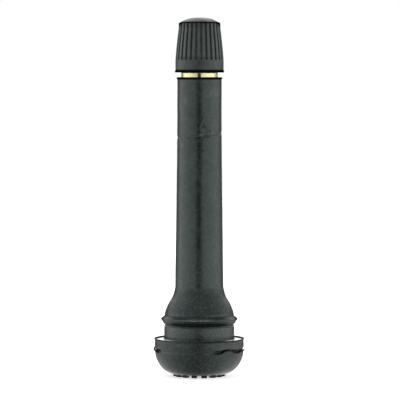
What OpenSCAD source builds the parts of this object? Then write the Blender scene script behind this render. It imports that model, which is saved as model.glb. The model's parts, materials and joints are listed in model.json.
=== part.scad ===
// Snap-in rubber tyre valve for a tubeless wheel, with its screw cap and spring-loaded core.
// Units are millimetres. The valve stands on its base at z = 0, with its axis along +Z.

/* [Valve] */
// Length from the base to the tip of the brass stem, without the cap
valve_len = 74; // [66:0.5:90]

/* [Rubber head] */
// Radius of the round head at its moulding line
head_r = 9.32; // [8.9:0.02:9.6]
// Radius of the rounding between the head's side and its base
dome_r = 4.9; // [4.4:0.1:5.4]
// Outer radius of the flange that seals on the inside of the rim
flange_r = 9.65; // [9.3:0.05:10.5]
// Height of the flange above the moulding line
flange_h = 2.7; // [1.6:0.1:3.4]
// Width of the raised ridge round the flange's edge
ridge_w = 0.3; // [0.2:0.05:0.6]
// Depth of the flange's ledge below the ridge
ledge_depth = 0.35; // [0.32:0.01:0.5]
// Radius of the thin fin that the mould leaves round the head
fin_r = 9.8; // [9.6:0.05:10.2]
// Thickness of the fin
fin_t = 0.16; // [0.1:0.02:0.3]
// Height of the fin above the moulding line
fin_lift = 0.25; // [0.1:0.05:0.6]
// Height of the raised pads under the base
pad_h = 0.5; // [0.3:0.05:0.8]
// Inner radius of the ring of pads
pad_in_r = 4.4; // [3.4:0.1:4.8]
// Outer radius of the ring of pads
pad_out_r = 5.6; // [5.2:0.1:6]
// Number of pads around the base
pad_count = 16; // [6:1:20]
// Radius of the air hole in the base
air_hole_r = 2.2; // [1.8:0.1:2.6]
// Depth of rubber under the brass stem's foot
foot_cover = 2; // [1.4:0.1:3]

/* [Rim groove] */
// Radius of the groove that sits in the rim hole
groove_r = 7.5; // [6.8:0.05:7.7]
// Length of the groove from the flange's ridge to the root of the lip
groove_len = 2.85; // [2.4:0.05:5]
// Radius of the fillet where the groove meets the flange's ledge
groove_fillet_r = 0.3; // [0.2:0.02:0.3]
// Radius of the undercut where the groove meets the lip
undercut_r = 0.42; // [0.3:0.02:0.55]
// Depth of the undercut below the groove
undercut_depth = 0.24; // [0.1:0.02:0.28]
// Radius of the lip above the groove
lip_r = 8.2; // [7.9:0.05:8.8]
// Height of the lip's sloping underside
lip_slope_h = 1.2; // [0.6:0.05:1.5]
// Height of the lip's outer edge
lip_edge_h = 0.2; // [0.1:0.02:0.5]
// Height of the lip's sloping top
lip_top_h = 0.6; // [0.3:0.05:1]

/* [Rubber stem] */
// Radius of the bell just above the lip
bell_r = 7.48; // [7.1:0.02:7.7]
// Height of the bell from the lip to the stem
bell_h = 6.25; // [5.4:0.05:8]
// Radius of the hollow where the bell runs into the stem
bell_hollow_r = 5.2; // [4:0.1:6.5]
// Steepest slope of the bell, measured from the axis
bell_slope = 32.6; // [30:0.2:36]
// Radius of the stem above the bell
stem_base_r = 5.17; // [4.95:0.01:5.5]
// Radius of the straight upper stem
stem_top_r = 4.74; // [4.5:0.01:4.9]
// Length of the straight upper stem
straight_len = 12.3; // [8:0.1:16]
// Width of the thin moulded lip at the stem's end
end_lip_w = 0.13; // [0.05:0.01:0.3]
// Height of that lip
end_lip_h = 0.4; // [0.2:0.05:0.8]
// Bare brass between the rubber and the cap
bare_gap = 1; // [0.6:0.05:2]

/* [Brass stem] */
// Outside radius of the cap thread
thread_r = 3.87; // [3.8:0.01:3.92]
// Radius of the plain collar under the thread
collar_r = 3.92; // [3.85:0.01:4.05]
// Length of the collar that the rubber covers
collar_len = 1.3; // [0.8:0.1:2.5]
// Radius of the shank that the rubber is bonded to
shank_r = 3.55; // [3.3:0.05:3.7]
// Radius of the lower shank
lower_shank_r = 3.05; // [2.7:0.05:3.2]
// Length of the lower shank, the foot included
lower_shank_len = 16; // [12:0.5:22]
// Radius of the foot that anchors the stem in the head
foot_r = 4.7; // [4.2:0.05:5.2]
// Height of the foot
foot_h = 1.4; // [1:0.1:2]
// Number of anchor rings on the lower shank
ring_count = 4; // [2:1:5]
// Distance from one anchor ring to the next
ring_pitch = 2; // [1.6:0.05:2.2]
// Radius of the anchor rings
ring_r = 3.5; // [3.3:0.05:3.8]
// Chamfer at the tip
tip_chamfer = 0.6; // [0.3:0.05:0.9]
// Radius of the air passage
passage_r = 1.6; // [1.2:0.05:1.75]
// Radius of the chamber around the valve core
chamber_r = 2.07; // [2:0.01:2.2]
// Radius of the bore that takes the core's thread
core_bore_r = 2.65; // [2.6:0.01:2.75]
// Chamfer at the mouth of that bore
mouth_chamfer = 0.3; // [0.1:0.05:0.5]

/* [Valve core] */
// Distance of the pin's head below the tip
pin_recess = 0.4; // [0.1:0.05:1]
// Radius of the valve pin
pin_r = 0.55; // [0.45:0.01:0.6]
// Radius of the pin's head
pin_head_r = 0.95; // [0.8:0.05:1.2]
// Height of the pin's head
pin_head_h = 0.9; // [0.6:0.05:1.3]
// Travel of the pin when the valve is opened
pin_travel = 1.3; // [0.8:0.05:1.8]
// Length of the threaded plug
plug_len = 6.8; // [6.2:0.1:8]
// Width of the plug's bridge, between its two flats
bridge_w = 2.6; // [2.2:0.1:3]
// Height of the two flats
flat_h = 3; // [2.6:0.1:3.4]
// Depth of solid bridge around the pin
bridge_h = 2; // [1.6:0.1:2.4]
// Radius of the swivel pocket inside the plug
pocket_r = 1.95; // [1.85:0.01:2.05]
// Height of the lip that holds the barrel in the plug
crimp_h = 0.5; // [0.3:0.05:0.8]
// Height of the barrel's swivel head
swivel_h = 0.85; // [0.6:0.05:1.2]
// Radius of the barrel's neck under its swivel head
neck_r = 1.52; // [1.45:0.01:1.56]
// Height of the barrel gasket
gasket_h = 2.2; // [1.6:0.1:2.8]
// Widening of the gasket's cone from its bottom to its top
gasket_flare = 0.38; // [0.2:0.02:0.5]
// Radius of the barrel below the gasket
barrel_r = 1.75; // [1.68:0.01:1.8]
// Radius of the barrel's bore
barrel_bore_r = 1.35; // [1.32:0.01:1.38]
// Length of the barrel below the gasket
barrel_tail = 7.4; // [7:0.1:10]
// Radius of the hole at the barrel's lower end
guide_r = 0.9; // [0.8:0.01:0.95]
// Length of that hole
guide_len = 1.8; // [1.2:0.1:2.4]
// Thickness of the rubber washer that closes the barrel
seat_t = 0.85; // [0.6:0.05:1.2]
// Wall of the cup around that washer
cup_wall = 0.15; // [0.1:0.01:0.2]
// Thickness of the cup's bottom
cup_floor = 0.4; // [0.25:0.05:0.6]
// Share of the washer's height that the cup covers
cup_cover = 0.7; // [0.4:0.05:0.85]

/* [Core spring] */
// Length of the fitted spring
spring_len = 6.4; // [5.8:0.1:7]
// Diameter of the spring's wire
wire_d = 0.28; // [0.2:0.01:0.3]
// Turns of the spring, the two closed end turns included
spring_turns = 9; // [7:1:11]

/* [Cap] */
// Length of the cap
cap_len = 11.7; // [10.5:0.1:13]
// Thickness of the cap's crown at its centre
crown_t = 1.7; // [1.4:0.1:2.4]
// Height of the dome on the crown
cap_dome_h = 1; // [0.6:0.05:1.2]
// Rounding between the side and the dome
shoulder_r = 0.38; // [0.2:0.01:0.5]
// Radius of the straight top, up to the shoulder
cap_top_r = 4.45; // [4.3:0.01:4.8]
// Radius at the top of the plain band
cap_band_r = 5.15; // [4.9:0.01:5.4]
// Height of the plain band, its bead included
band_h = 2.5; // [2:0.1:4]
// Outward bow of the cap's tapered side
side_bow = 0.06; // [0.04:0.01:0.16]
// Height of the straight top under the shoulder
top_len = 1.3; // [0.6:0.1:2]
// Radius of the bead round the cap's mouth
bead_r = 5.26; // [5.16:0.02:5.6]
// Height of the bead
bead_h = 0.45; // [0.3:0.05:0.8]
// Number of grip flutes
flute_count = 28; // [20:1:36]
// Radius of a flute
flute_r = 0.23; // [0.22:0.01:0.26]
// Depth of a flute
flute_depth = 0.22; // [0.15:0.01:0.22]
// Distance of a flute's round end above the plain band
flute_end = 0.4; // [0.35:0.05:1]
// Thickness of the sealing washer in the cap
washer_t = 0.9; // [0.6:0.05:1.2]
// Radius of the hole in that washer
washer_hole_r = 1.3; // [1.2:0.05:2]

/* [Fits] */
// Radial clearance of the cap on the brass thread
thread_gap = 0.08; // [0.05:0.01:0.12]
// Radial clearance between the parts of the core
core_gap = 0.05; // [0.03:0.005:0.06]
// Free room above and below what the pin carries
travel_gap = 0.2; // [0.15:0.05:0.4]
// Gap between faces that only meet, such as a coil on its seat
seat_gap = 0.02; // [0.01:0.005:0.03]

/* [Hidden] */
$fn = 72;

// Heights of the rubber body, from the base upwards
base_z = pad_h;
mould_line_z = base_z + dome_r;
flange_z = mould_line_z + flange_h;
flange_ledge_z = flange_z - ledge_depth;
groove_top_z = flange_z + groove_len;
lip_z = groove_top_z + lip_slope_h;
bell_z = lip_z + lip_edge_h + lip_top_h;
stem_z = bell_z + bell_h;

// Heights of the cap, from the tip of the stem
tip_z = valve_len;
roof_z = tip_z + washer_t;
crown_z = roof_z + crown_t;
cap_z = crown_z - cap_len;
shoulder_z = crown_z - cap_dome_h;
top_z = shoulder_z - top_len;
band_z = cap_z + band_h;
rubber_top_z = cap_z - bare_gap;
taper_top_z = rubber_top_z - straight_len;

// Heights of the brass stem's outside
foot_z = base_z + foot_cover;
lower_shank_z = foot_z + lower_shank_len;
collar_z = rubber_top_z - collar_len;

// Heights of the valve core, from the tip downwards
pin_top_z = tip_z - pin_recess;
pin_head_z = pin_top_z - pin_head_h;
plug_top_z = pin_head_z - pin_travel - travel_gap;
plug_z = plug_top_z - plug_len;
swivel_z = plug_z + crimp_h + core_gap;
gasket_top_z = plug_z - travel_gap;
gasket_z = gasket_top_z - gasket_h;
barrel_z = gasket_z - barrel_tail;
ledge_z = barrel_z + guide_len;
spring_z = ledge_z + seat_gap;
lug_z = spring_z + spring_len + seat_gap;
seat_z = barrel_z - seat_gap;
cup_floor_z = seat_z - seat_t;
cup_z = cup_floor_z - cup_floor;
rivet_h = cup_floor;
pin_z = cup_z - rivet_h;
chamber_z = pin_z - pin_travel - travel_gap;
chamber_top_z = gasket_z;

// Radii that follow from a fit
plug_r = core_bore_r - core_gap;
cap_bore_r = thread_r + thread_gap;
tip_r = thread_r - tip_chamfer;
washer_r = tip_r;
washer_pocket_r = washer_r + core_gap;
gasket_r = chamber_r - seat_gap;
crimp_r = neck_r + core_gap;
cup_r = barrel_r;
seat_r = cup_r - cup_wall;
spring_r = (guide_r + barrel_bore_r) / 2;
lug_r = barrel_bore_r - core_gap;

// Centre of the hollow arc and of the full arc that make the bell, tangent to each other
bell_turn = [stem_base_r + bell_hollow_r * (1 - cos(bell_slope)),
             stem_z - bell_hollow_r * sin(bell_slope)];
bell_normal = [cos(bell_slope), sin(bell_slope)];
bell_hollow_c = bell_turn + bell_hollow_r * bell_normal;
bell_chord = [bell_r, bell_z] - bell_turn;
bell_full_r = -(bell_chord * bell_chord) / (2 * (bell_chord * bell_normal));
bell_full_c = bell_turn - bell_full_r * bell_normal;

// A bar of a section: from the axis out to r, between two heights
module bar(r, z0, z1) {
    translate([0, z0]) square([r, z1 - z0]);
}

// A disc of a section, centred at a radius and a height; a wide arc has more sides
module disc(r, at) {
    translate(at) circle(r, $fn = max($fn, round(12 * r)));
}

// Half section of the head: a flat base, a round edge, the flange's side, ridge and ledge, and the mould's fin
module head_section() {
    bar(head_r - dome_r, base_z, mould_line_z);
    intersection() {
        disc(dome_r, [head_r - dome_r, mould_line_z]);
        bar(head_r, base_z, mould_line_z);
    }
    polygon([[0, mould_line_z], [head_r, mould_line_z], [flange_r, flange_z], [flange_r - ridge_w, flange_z],
             [flange_r - ridge_w, flange_ledge_z], [groove_r, flange_ledge_z], [groove_r, flange_z],
             [0, flange_z]]);
    bar(fin_r, mould_line_z + fin_lift, mould_line_z + fin_lift + fin_t);
}

// Half section of the rim groove, with a fillet below and an undercut above, and of the lip over it
module groove_section() {
    fillet_c = [groove_r + groove_fillet_r, flange_ledge_z + groove_fillet_r];
    difference() {
        bar(fillet_c.x, flange_ledge_z, fillet_c.y);
        disc(groove_fillet_r, fillet_c);
    }
    difference() {
        union() {
            bar(groove_r, flange_z, groove_top_z);
            polygon([[0, groove_top_z], [groove_r - undercut_depth, groove_top_z], [lip_r, lip_z],
                     [lip_r, lip_z + lip_edge_h], [bell_r, bell_z], [0, bell_z]]);
        }
        disc(undercut_r, [groove_r - undercut_depth + undercut_r, groove_top_z]);
    }
}

// Half section of the bell, which swells out of the stem and stands on the lip
module bell_section() {
    intersection() {
        bar(lip_r, bell_z, bell_turn.y);
        disc(bell_full_r, bell_full_c);
    }
    difference() {
        bar(bell_hollow_c.x, bell_turn.y, stem_z);
        disc(bell_hollow_r, bell_hollow_c);
    }
}

// Half section of the stem: a core down to the head, a long taper, a straight end and a thin moulded lip
module stem_section() {
    bar(stem_top_r, mould_line_z, rubber_top_z);
    polygon([[0, stem_z], [stem_base_r, stem_z], [stem_top_r, taper_top_z], [0, taper_top_z]]);
    bar(stem_top_r + end_lip_w, rubber_top_z - end_lip_h, rubber_top_z);
}

// Half section of the brass stem's outside, filled to the axis
module insert_section() {
    bar(foot_r, foot_z, foot_z + foot_h);
    bar(lower_shank_r, foot_z, lower_shank_z);
    for (i = [1 : ring_count])
        bar(ring_r, foot_z + foot_h + (i - 0.5) * ring_pitch, foot_z + foot_h + i * ring_pitch);
    bar(shank_r, lower_shank_z, collar_z);
    bar(collar_r, collar_z, cap_z);
    bar(thread_r, cap_z, tip_z - tip_chamfer);
    polygon([[0, tip_z - tip_chamfer], [thread_r, tip_z - tip_chamfer], [tip_r, tip_z], [0, tip_z]]);
}

// Half section of the bore: the passage, the core's chamber, its conical seat and its threaded bore
module bore_section() {
    cone_top_z = gasket_top_z + seat_gap;
    bar(passage_r, 0, tip_z);
    bar(chamber_r, chamber_z, chamber_top_z);
    polygon([[0, chamber_top_z], [chamber_r, chamber_top_z], [chamber_r + gasket_flare, gasket_top_z],
             [chamber_r + gasket_flare, cone_top_z], [0, cone_top_z]]);
    bar(core_bore_r, cone_top_z, tip_z - mouth_chamfer);
    polygon([[0, tip_z - mouth_chamfer], [core_bore_r, tip_z - mouth_chamfer],
             [core_bore_r + mouth_chamfer, tip_z], [0, tip_z]]);
}

// Plain raised pads round the base, which the valve stands on
module base_pads() {
    pad_angle = 220 / pad_count;
    for (i = [0 : pad_count - 1])
        rotate([0, 0, (i + 0.5) * 360 / pad_count - pad_angle / 2])
            rotate_extrude(angle = pad_angle)
                translate([pad_in_r, 0]) square([pad_out_r - pad_in_r, base_z + dome_r / 10]);
}

// The moulded rubber: head, rim groove, lip, bell and stem in one piece, bonded to the brass
module rubber_body() {
    color("#343837") {
        rotate_extrude() difference() {
            union() {
                head_section();
                groove_section();
                bell_section();
                stem_section();
            }
            insert_section();
            bar(air_hole_r, 0, foot_z);
        }
        base_pads();
    }
}

// The turned brass stem: foot, anchor rings, shank, collar and threaded tip, bored through
module brass_stem() {
    color("#c8a45a") rotate_extrude() difference() {
        insert_section();
        bore_section();
    }
}

// The core's threaded plug: a swivel pocket below, and above it a bridge between two flats
module core_plug() {
    pocket_top_z = plug_top_z - bridge_h;
    color("#b8923f") difference() {
        rotate_extrude() difference() {
            bar(plug_r, plug_z, plug_top_z);
            bar(crimp_r, plug_z, plug_z + crimp_h);
            bar(pocket_r, plug_z + crimp_h, pocket_top_z);
            bar(pin_r + core_gap, plug_z, plug_top_z);
        }
        for (side = [-1, 1])
            translate([-plug_r, side * (bridge_w + plug_r) / 2 - plug_r / 2, plug_top_z - flat_h])
                cube([2 * plug_r, plug_r, flat_h]);
    }
}

// The core's barrel: a swivel head, a neck for the gasket, and a tube that houses the spring
module core_barrel() {
    flange_t = gasket_h / 4;
    color("#c8a45a") rotate_extrude() difference() {
        union() {
            bar(pocket_r - core_gap, swivel_z, swivel_z + swivel_h);
            bar(neck_r, gasket_z, swivel_z);
            bar(barrel_r, barrel_z, gasket_z);
            bar(gasket_r - core_gap, gasket_z - flange_t, gasket_z);
        }
        bar(guide_r, barrel_z, ledge_z);
        bar(barrel_bore_r, ledge_z, swivel_z + swivel_h);
    }
}

// The tapered gasket that seals the barrel in the stem's conical seat
module barrel_gasket() {
    color("#2b2b2d") rotate_extrude()
        polygon([[neck_r, gasket_z], [gasket_r, gasket_z],
                 [gasket_r + gasket_flare, gasket_top_z], [neck_r, gasket_top_z]]);
}

// The valve pin: a domed head, two pressed lugs over the spring, and a riveted lower end
module core_pin() {
    lug_w = 1.6 * pin_r;
    lug_h = pin_r;
    rivet_r = pin_r + rivet_h;
    color("#d0c8b4") {
        rotate_extrude() {
            bar(pin_r, pin_z, pin_head_z);
            bar(rivet_r, pin_z, cup_z);
            intersection() {
                bar(pin_head_r, pin_head_z, pin_top_z);
                disc(2 * pin_head_r, [0, pin_top_z - 2 * pin_head_r]);
            }
        }
        intersection() {
            translate([0, 0, lug_z]) cylinder(r = lug_r, h = lug_h);
            translate([-lug_r, -lug_w / 2, lug_z]) cube([2 * lug_r, lug_w, lug_h]);
        }
    }
}

// The cup that carries the washer on the pin's lower end
module plunger_cup() {
    color("#c8a45a") rotate_extrude() difference() {
        bar(cup_r, cup_z, cup_floor_z + cup_cover * seat_t);
        bar(seat_r, cup_floor_z, seat_z);
        bar(pin_r, cup_z, seat_z);
    }
}

// The rubber washer that closes the barrel's lower end
module plunger_washer() {
    color("#1f1f21") rotate_extrude() difference() {
        bar(seat_r, cup_floor_z, seat_z);
        bar(pin_r, cup_floor_z, seat_z);
    }
}

// Height of the coil's centreline after a number of turns: a closed turn at each end, even turns between
function coil_rise(turns) =
    let (closed = wire_d, open = (spring_len - 3 * wire_d) / (spring_turns - 2))
    wire_d / 2 + closed * min(turns, 1) + open * max(0, min(turns - 1, spring_turns - 2))
    + closed * max(0, turns - (spring_turns - 1));

// The coil spring inside the barrel, which holds the pin up
module core_spring() {
    steps = 16;
    sides = 8;
    rings = spring_turns * steps;
    points = [
        for (i = [0 : rings]) let (turns = i / steps, angle = 360 * turns)
            for (k = [0 : sides - 1]) let (tilt = 360 * k / sides, r = spring_r + wire_d / 2 * cos(tilt))
                [r * cos(angle), r * sin(angle), spring_z + coil_rise(turns) + wire_d / 2 * sin(tilt)]
    ];
    skin = [
        for (i = [0 : rings - 1], k = [0 : sides - 1]) let (next = (k + 1) % sides)
            [i * sides + k, i * sides + next, (i + 1) * sides + next, (i + 1) * sides + k]
    ];
    ends = [[for (k = [sides - 1 : -1 : 0]) k], [for (k = [0 : sides - 1]) rings * sides + k]];
    color("silver") polyhedron(points, concat(skin, ends), convexity = 10);
}

// The flat washer in the cap's crown, which seals on the tip of the stem
module cap_washer() {
    color("#4a4d4c") rotate_extrude() difference() {
        bar(washer_r, tip_z, roof_z);
        bar(washer_hole_r, tip_z, roof_z);
    }
}

// Half section of the cap's outside: bead, plain band, bowed taper, straight top, rounded shoulder and dome
module cap_outside_section() {
    low = [cap_band_r, band_z];
    high = [cap_top_r, top_z];
    half = norm(high - low) / 2;
    bow_r = (half * half + side_bow * side_bow) / (2 * side_bow);
    outward = [high.y - low.y, low.x - high.x] / (2 * half);
    bow_c = (low + high) / 2 - (bow_r - side_bow) * outward;
    dome_edge_r = cap_top_r - shoulder_r;
    dome_sphere_r = (dome_edge_r * dome_edge_r + cap_dome_h * cap_dome_h) / (2 * cap_dome_h);
    bar(bead_r, cap_z, cap_z + bead_h);
    bar(cap_band_r, cap_z, band_z);
    intersection() {
        bar(bead_r, band_z, top_z);
        disc(bow_r, bow_c);
    }
    bar(cap_top_r, top_z, shoulder_z - shoulder_r);
    bar(dome_edge_r, band_z, shoulder_z);
    intersection() {
        disc(shoulder_r, [dome_edge_r, shoulder_z - shoulder_r]);
        bar(cap_top_r, shoulder_z - shoulder_r, shoulder_z);
    }
    intersection() {
        disc(dome_sphere_r, [0, crown_z - dome_sphere_r]);
        bar(dome_edge_r, shoulder_z, crown_z);
    }
}

// Half section of the cap's inside: a chamfered mouth, the thread's bore, a cone and the washer's pocket
module cap_inside_section() {
    mouth = 0.8 * bead_h;
    cone_z = tip_z - tip_chamfer;
    polygon([[0, cap_z], [cap_bore_r + mouth, cap_z], [cap_bore_r, cap_z + mouth], [0, cap_z + mouth]]);
    bar(cap_bore_r, cap_z + mouth, cone_z);
    polygon([[0, cone_z], [cap_bore_r, cone_z], [washer_pocket_r, tip_z], [0, tip_z]]);
    bar(washer_pocket_r, tip_z, roof_z);
}

// One grip flute: a round groove down the taper, with a round end above the plain band
module flute() {
    end_z = band_z + flute_end;
    low_r = cap_band_r + flute_r - flute_depth;
    high_r = cap_top_r + flute_r - flute_depth;
    lean = atan((low_r - high_r) / (top_z - end_z));
    run = (shoulder_z - end_z) / cos(lean) + crown_t;
    translate([low_r, 0, end_z]) rotate([0, -lean, 0]) rotate_extrude() {
        bar(flute_r, 0, run);
        intersection() {
            disc(flute_r, [0, 0]);
            bar(flute_r, -flute_r, 0);
        }
    }
}

// The moulded screw cap
module cap_shell() {
    color("#3b3f3e") difference() {
        rotate_extrude() difference() {
            cap_outside_section();
            cap_inside_section();
        }
        for (i = [0 : flute_count - 1])
            rotate([0, 0, i * 360 / flute_count]) flute();
    }
}

rubber_body();
brass_stem();
core_plug();
core_barrel();
barrel_gasket();
core_pin();
plunger_cup();
plunger_washer();
core_spring();
cap_washer();
cap_shell();
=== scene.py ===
"""Tyre valve: the finished looks of a snap-in rubber valve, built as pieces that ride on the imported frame."""
import json
import math

import bmesh
import bpy
from bpy.props import FloatProperty, FloatVectorProperty, IntProperty, PointerProperty
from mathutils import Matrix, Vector, noise


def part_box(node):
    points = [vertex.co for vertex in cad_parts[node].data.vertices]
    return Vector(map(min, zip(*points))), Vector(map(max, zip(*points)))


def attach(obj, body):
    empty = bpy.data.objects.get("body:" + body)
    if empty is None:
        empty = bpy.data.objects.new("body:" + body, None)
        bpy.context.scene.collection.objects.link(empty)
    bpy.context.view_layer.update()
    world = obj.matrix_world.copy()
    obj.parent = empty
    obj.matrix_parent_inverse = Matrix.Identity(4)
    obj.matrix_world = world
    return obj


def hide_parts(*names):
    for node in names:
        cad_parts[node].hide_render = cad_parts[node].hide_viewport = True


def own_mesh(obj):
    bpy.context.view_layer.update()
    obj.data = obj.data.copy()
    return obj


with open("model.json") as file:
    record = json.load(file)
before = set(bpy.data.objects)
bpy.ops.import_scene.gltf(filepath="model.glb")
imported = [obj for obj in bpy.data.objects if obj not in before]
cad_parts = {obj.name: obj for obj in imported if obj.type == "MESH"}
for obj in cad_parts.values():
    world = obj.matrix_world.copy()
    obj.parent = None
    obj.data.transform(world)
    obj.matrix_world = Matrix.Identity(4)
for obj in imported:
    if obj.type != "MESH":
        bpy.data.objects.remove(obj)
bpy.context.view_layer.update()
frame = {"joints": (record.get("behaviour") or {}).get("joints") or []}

bl_info = {
    "name": "Tyre Valve",
    "version": (1, 0, 0),
    "blender": (4, 5, 0),
    "location": "View3D > Sidebar > Tyre Valve",
    "description": "Builds a snap-in rubber tyre valve with its brass stem, core and screw cap",
    "category": "Object",
}

MM = 0.001
TURN = 2 * math.pi
MERGE = 0.0001 * MM
SHARP_ANGLE = math.radians(38)
# The side that faces the camera, as an angle round the Z axis
FRONT = -math.pi / 2

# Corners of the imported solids, which place the pieces built here
RUBBER_LOW, RUBBER_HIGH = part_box("rubber_body")
STEM_LOW, STEM_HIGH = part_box("brass_stem")
CAP_LOW, CAP_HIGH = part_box("cap_shell")
WASHER_LOW, WASHER_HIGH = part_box("cap_washer")
PLUG_LOW, PLUG_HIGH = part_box("core_plug")
BARREL_LOW, BARREL_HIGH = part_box("core_barrel")
GASKET_LOW, GASKET_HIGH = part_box("barrel_gasket")
PIN_LOW, PIN_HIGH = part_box("core_pin")
CUP_LOW, CUP_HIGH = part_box("plunger_cup")
SEAT_LOW, SEAT_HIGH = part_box("plunger_washer")
SPRING_LOW, SPRING_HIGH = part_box("core_spring")
PIN_TRAVEL = next(j["range_m"][1] for j in frame["joints"] if j["name"] == "pin_press")


def length(name, description, default):
    """A size in metres, shown in the sidebar."""
    return FloatProperty(name=name, description=description, default=default, unit="LENGTH", precision=5)


def colour(name, description, default):
    """A colour, shown in the sidebar."""
    return FloatVectorProperty(name=name, description=description, default=default, subtype="COLOR",
                               min=0, max=1)


class RubberSizes(bpy.types.PropertyGroup):
    """Sizes and colours of the moulded rubber."""
    head_r: length("Head Radius", "Radius of the head at its moulding line", 9.32 * MM)
    dome_r: length("Dome Radius", "Rounding between the head's side and its base", 4.9 * MM)
    flange_r: length("Flange Radius", "Outer radius of the sealing flange", 9.65 * MM)
    pad_count: IntProperty(name="Pads", description="Number of pads under the base", default=16, min=3)
    groove_r: length("Groove Radius", "Radius of the groove that sits in the rim", 7.5 * MM)
    lip_r: length("Lip Radius", "Radius of the lip above the groove", 8.2 * MM)
    bell_r: length("Bell Radius", "Radius of the bell above the lip", 7.48 * MM)
    stem_base_r: length("Stem Base Radius", "Radius of the stem above the bell", 5.17 * MM)
    stem_top_r: length("Stem Top Radius", "Radius of the straight upper stem", 4.74 * MM)
    fin_r: length("Fin Radius", "Widest reach of the ragged fin at the moulding line", RUBBER_HIGH.x)
    crease_depth: length("Crease Depth", "Depth of the bent stem's crease", 0.17 * MM)
    dark: colour("Dark Rubber", "Colour of clean rubber", (0.0085, 0.0115, 0.0105))
    # The pale colour also carries the painted light over the groove
    pale: colour("Pale Rubber", "Colour of the dusty bloom on the rubber", (0.05, 0.058, 0.055))
    scuffed: colour("Scuffed Rubber", "Colour of the scuffs on the rubber", (0.1, 0.108, 0.105))


class MetalSizes(bpy.types.PropertyGroup):
    """Sizes and colours of the brass stem and the core."""
    collar_r: length("Collar Radius", "Radius of the plain collar under the thread", 3.92 * MM)
    thread_r: length("Thread Radius", "Outside radius of the cap thread", 3.87 * MM)
    thread_pitch: length("Thread Pitch", "Rise of the cap thread in one turn", 0.79375 * MM)
    thread_depth: length("Thread Depth", "Depth of the cap thread", 0.42 * MM)
    core_pitch: length("Core Pitch", "Rise of the core's thread in one turn", 0.70556 * MM)
    core_depth: length("Core Thread Depth", "Depth of the core's thread", 0.3 * MM)
    wire_d: length("Wire Diameter", "Diameter of the spring's wire", 0.28 * MM)
    spring_turns: IntProperty(name="Spring Turns", description="Turns of the core's spring", default=9, min=4)
    brass: colour("Brass", "Colour of turned brass", (1.0, 0.95, 0.52))
    core_brass: colour("Core Brass", "Colour of the core's brass", (0.82, 0.62, 0.3))
    steel: colour("Steel", "Colour of the spring's wire", (0.56, 0.56, 0.54))


class CapSizes(bpy.types.PropertyGroup):
    """Sizes and colours of the screw cap."""
    bead_r: length("Bead Radius", "Radius of the bead round the cap's mouth", CAP_HIGH.x)
    band_r: length("Band Radius", "Radius of the plain band", 5.15 * MM)
    top_r: length("Top Radius", "Radius of the straight top", 4.45 * MM)
    flute_count: IntProperty(name="Flutes", description="Number of grip flutes", default=28, min=8)
    flute_r: length("Flute Radius", "Radius of a flute", 0.23 * MM)
    flute_depth: length("Flute Depth", "Depth of a flute", 0.22 * MM)
    thread_gap: length("Thread Gap", "Clearance of the cap's thread on the stem's", 0.08 * MM)
    dark: colour("Dark Plastic", "Colour of the plastic", (0.014, 0.017, 0.0165))
    pale: colour("Pale Plastic", "Colour of the rubbed plastic on the ridges", (0.075, 0.083, 0.08))


# Profiles: lists of (radius, height) points

def arc(centre, radius, start, end, steps):
    """Points on a round stretch of a profile, from one angle to another, in degrees."""
    angles = [math.radians(start + (end - start) * i / steps) for i in range(steps + 1)]
    return [(centre[0] + radius * math.cos(a), centre[1] + radius * math.sin(a)) for a in angles]


def run(start, end, step):
    """Points on a straight stretch of a profile, both ends included, about one step apart."""
    count = max(1, round(math.dist(start, end) / step))
    share = [i / count for i in range(count + 1)]
    return [(start[0] + (end[0] - start[0]) * t, start[1] + (end[1] - start[1]) * t) for t in share]


def angle_of(point, centre):
    """Angle of a profile point seen from a centre, in degrees."""
    return math.degrees(math.atan2(point[1] - centre[1], point[0] - centre[0]))


def without_repeats(points):
    """A profile with no two neighbours in the same place."""
    kept = points[:1]
    for point in points[1:]:
        if math.dist(point, kept[-1]) > 2 * MERGE:
            kept.append(point)
    return kept


# Meshes

def turned(points, steps, closed=False):
    """A mesh turned round the Z axis from a profile."""
    mesh = bmesh.new()
    verts = [mesh.verts.new((r, 0, z)) for r, z in without_repeats(points)]
    edges = [mesh.edges.new(pair) for pair in zip(verts, verts[1:])]
    if closed:
        edges.append(mesh.edges.new((verts[-1], verts[0])))
    bmesh.ops.spin(mesh, geom=verts + edges, cent=(0, 0, 0), axis=(0, 0, 1), dvec=(0, 0, 0), angle=TURN,
                   steps=steps, use_merge=True)
    tidy(mesh)
    return mesh


def tidy(mesh):
    """Merges doubled vertices and turns every face outwards."""
    bmesh.ops.remove_doubles(mesh, verts=mesh.verts, dist=MERGE)
    bmesh.ops.dissolve_degenerate(mesh, edges=mesh.edges, dist=MERGE)
    bmesh.ops.recalc_face_normals(mesh, faces=mesh.faces)


def mark(mesh, name):
    """A new value on a mesh's vertices."""
    return mesh.verts.layers.float.new(name)


def soften(mesh, edges, size):
    """Rounds edges of a mesh off by a size."""
    bmesh.ops.bevel(mesh, geom=edges, offset=size, offset_type="OFFSET", segments=2, profile=0.5,
                    affect="EDGES", material=-1)


def polar(co):
    """Radius and angle of a point round the Z axis."""
    return math.hypot(co.x, co.y), math.atan2(co.y, co.x)


def set_polar(vert, radius, angle, height):
    """Moves a vertex to a radius, an angle and a height."""
    vert.co = Vector((radius * math.cos(angle), radius * math.sin(angle), height))


def held(value, low=0, high=1):
    """A value kept between two others."""
    return min(high, max(low, value))


def smooth_step(value, low, high):
    """0 below low, 1 above high and a smooth rise between; a low above high gives a fall."""
    t = held((value - low) / (high - low))
    return t * t * (3 - 2 * t)


def between(value, low, high, fade):
    """1 between two values, fading to 0 outside them."""
    return smooth_step(value, low - fade, low) * smooth_step(value, high + fade, high)


def turn_apart(a, b):
    """Signed difference of two angles, within half a turn."""
    return (a - b + math.pi) % TURN - math.pi


def aside_of(angle, degrees):
    """Degrees from a place, itself given in degrees from the front, to an angle."""
    return math.degrees(turn_apart(angle, FRONT + math.radians(degrees)))


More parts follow.
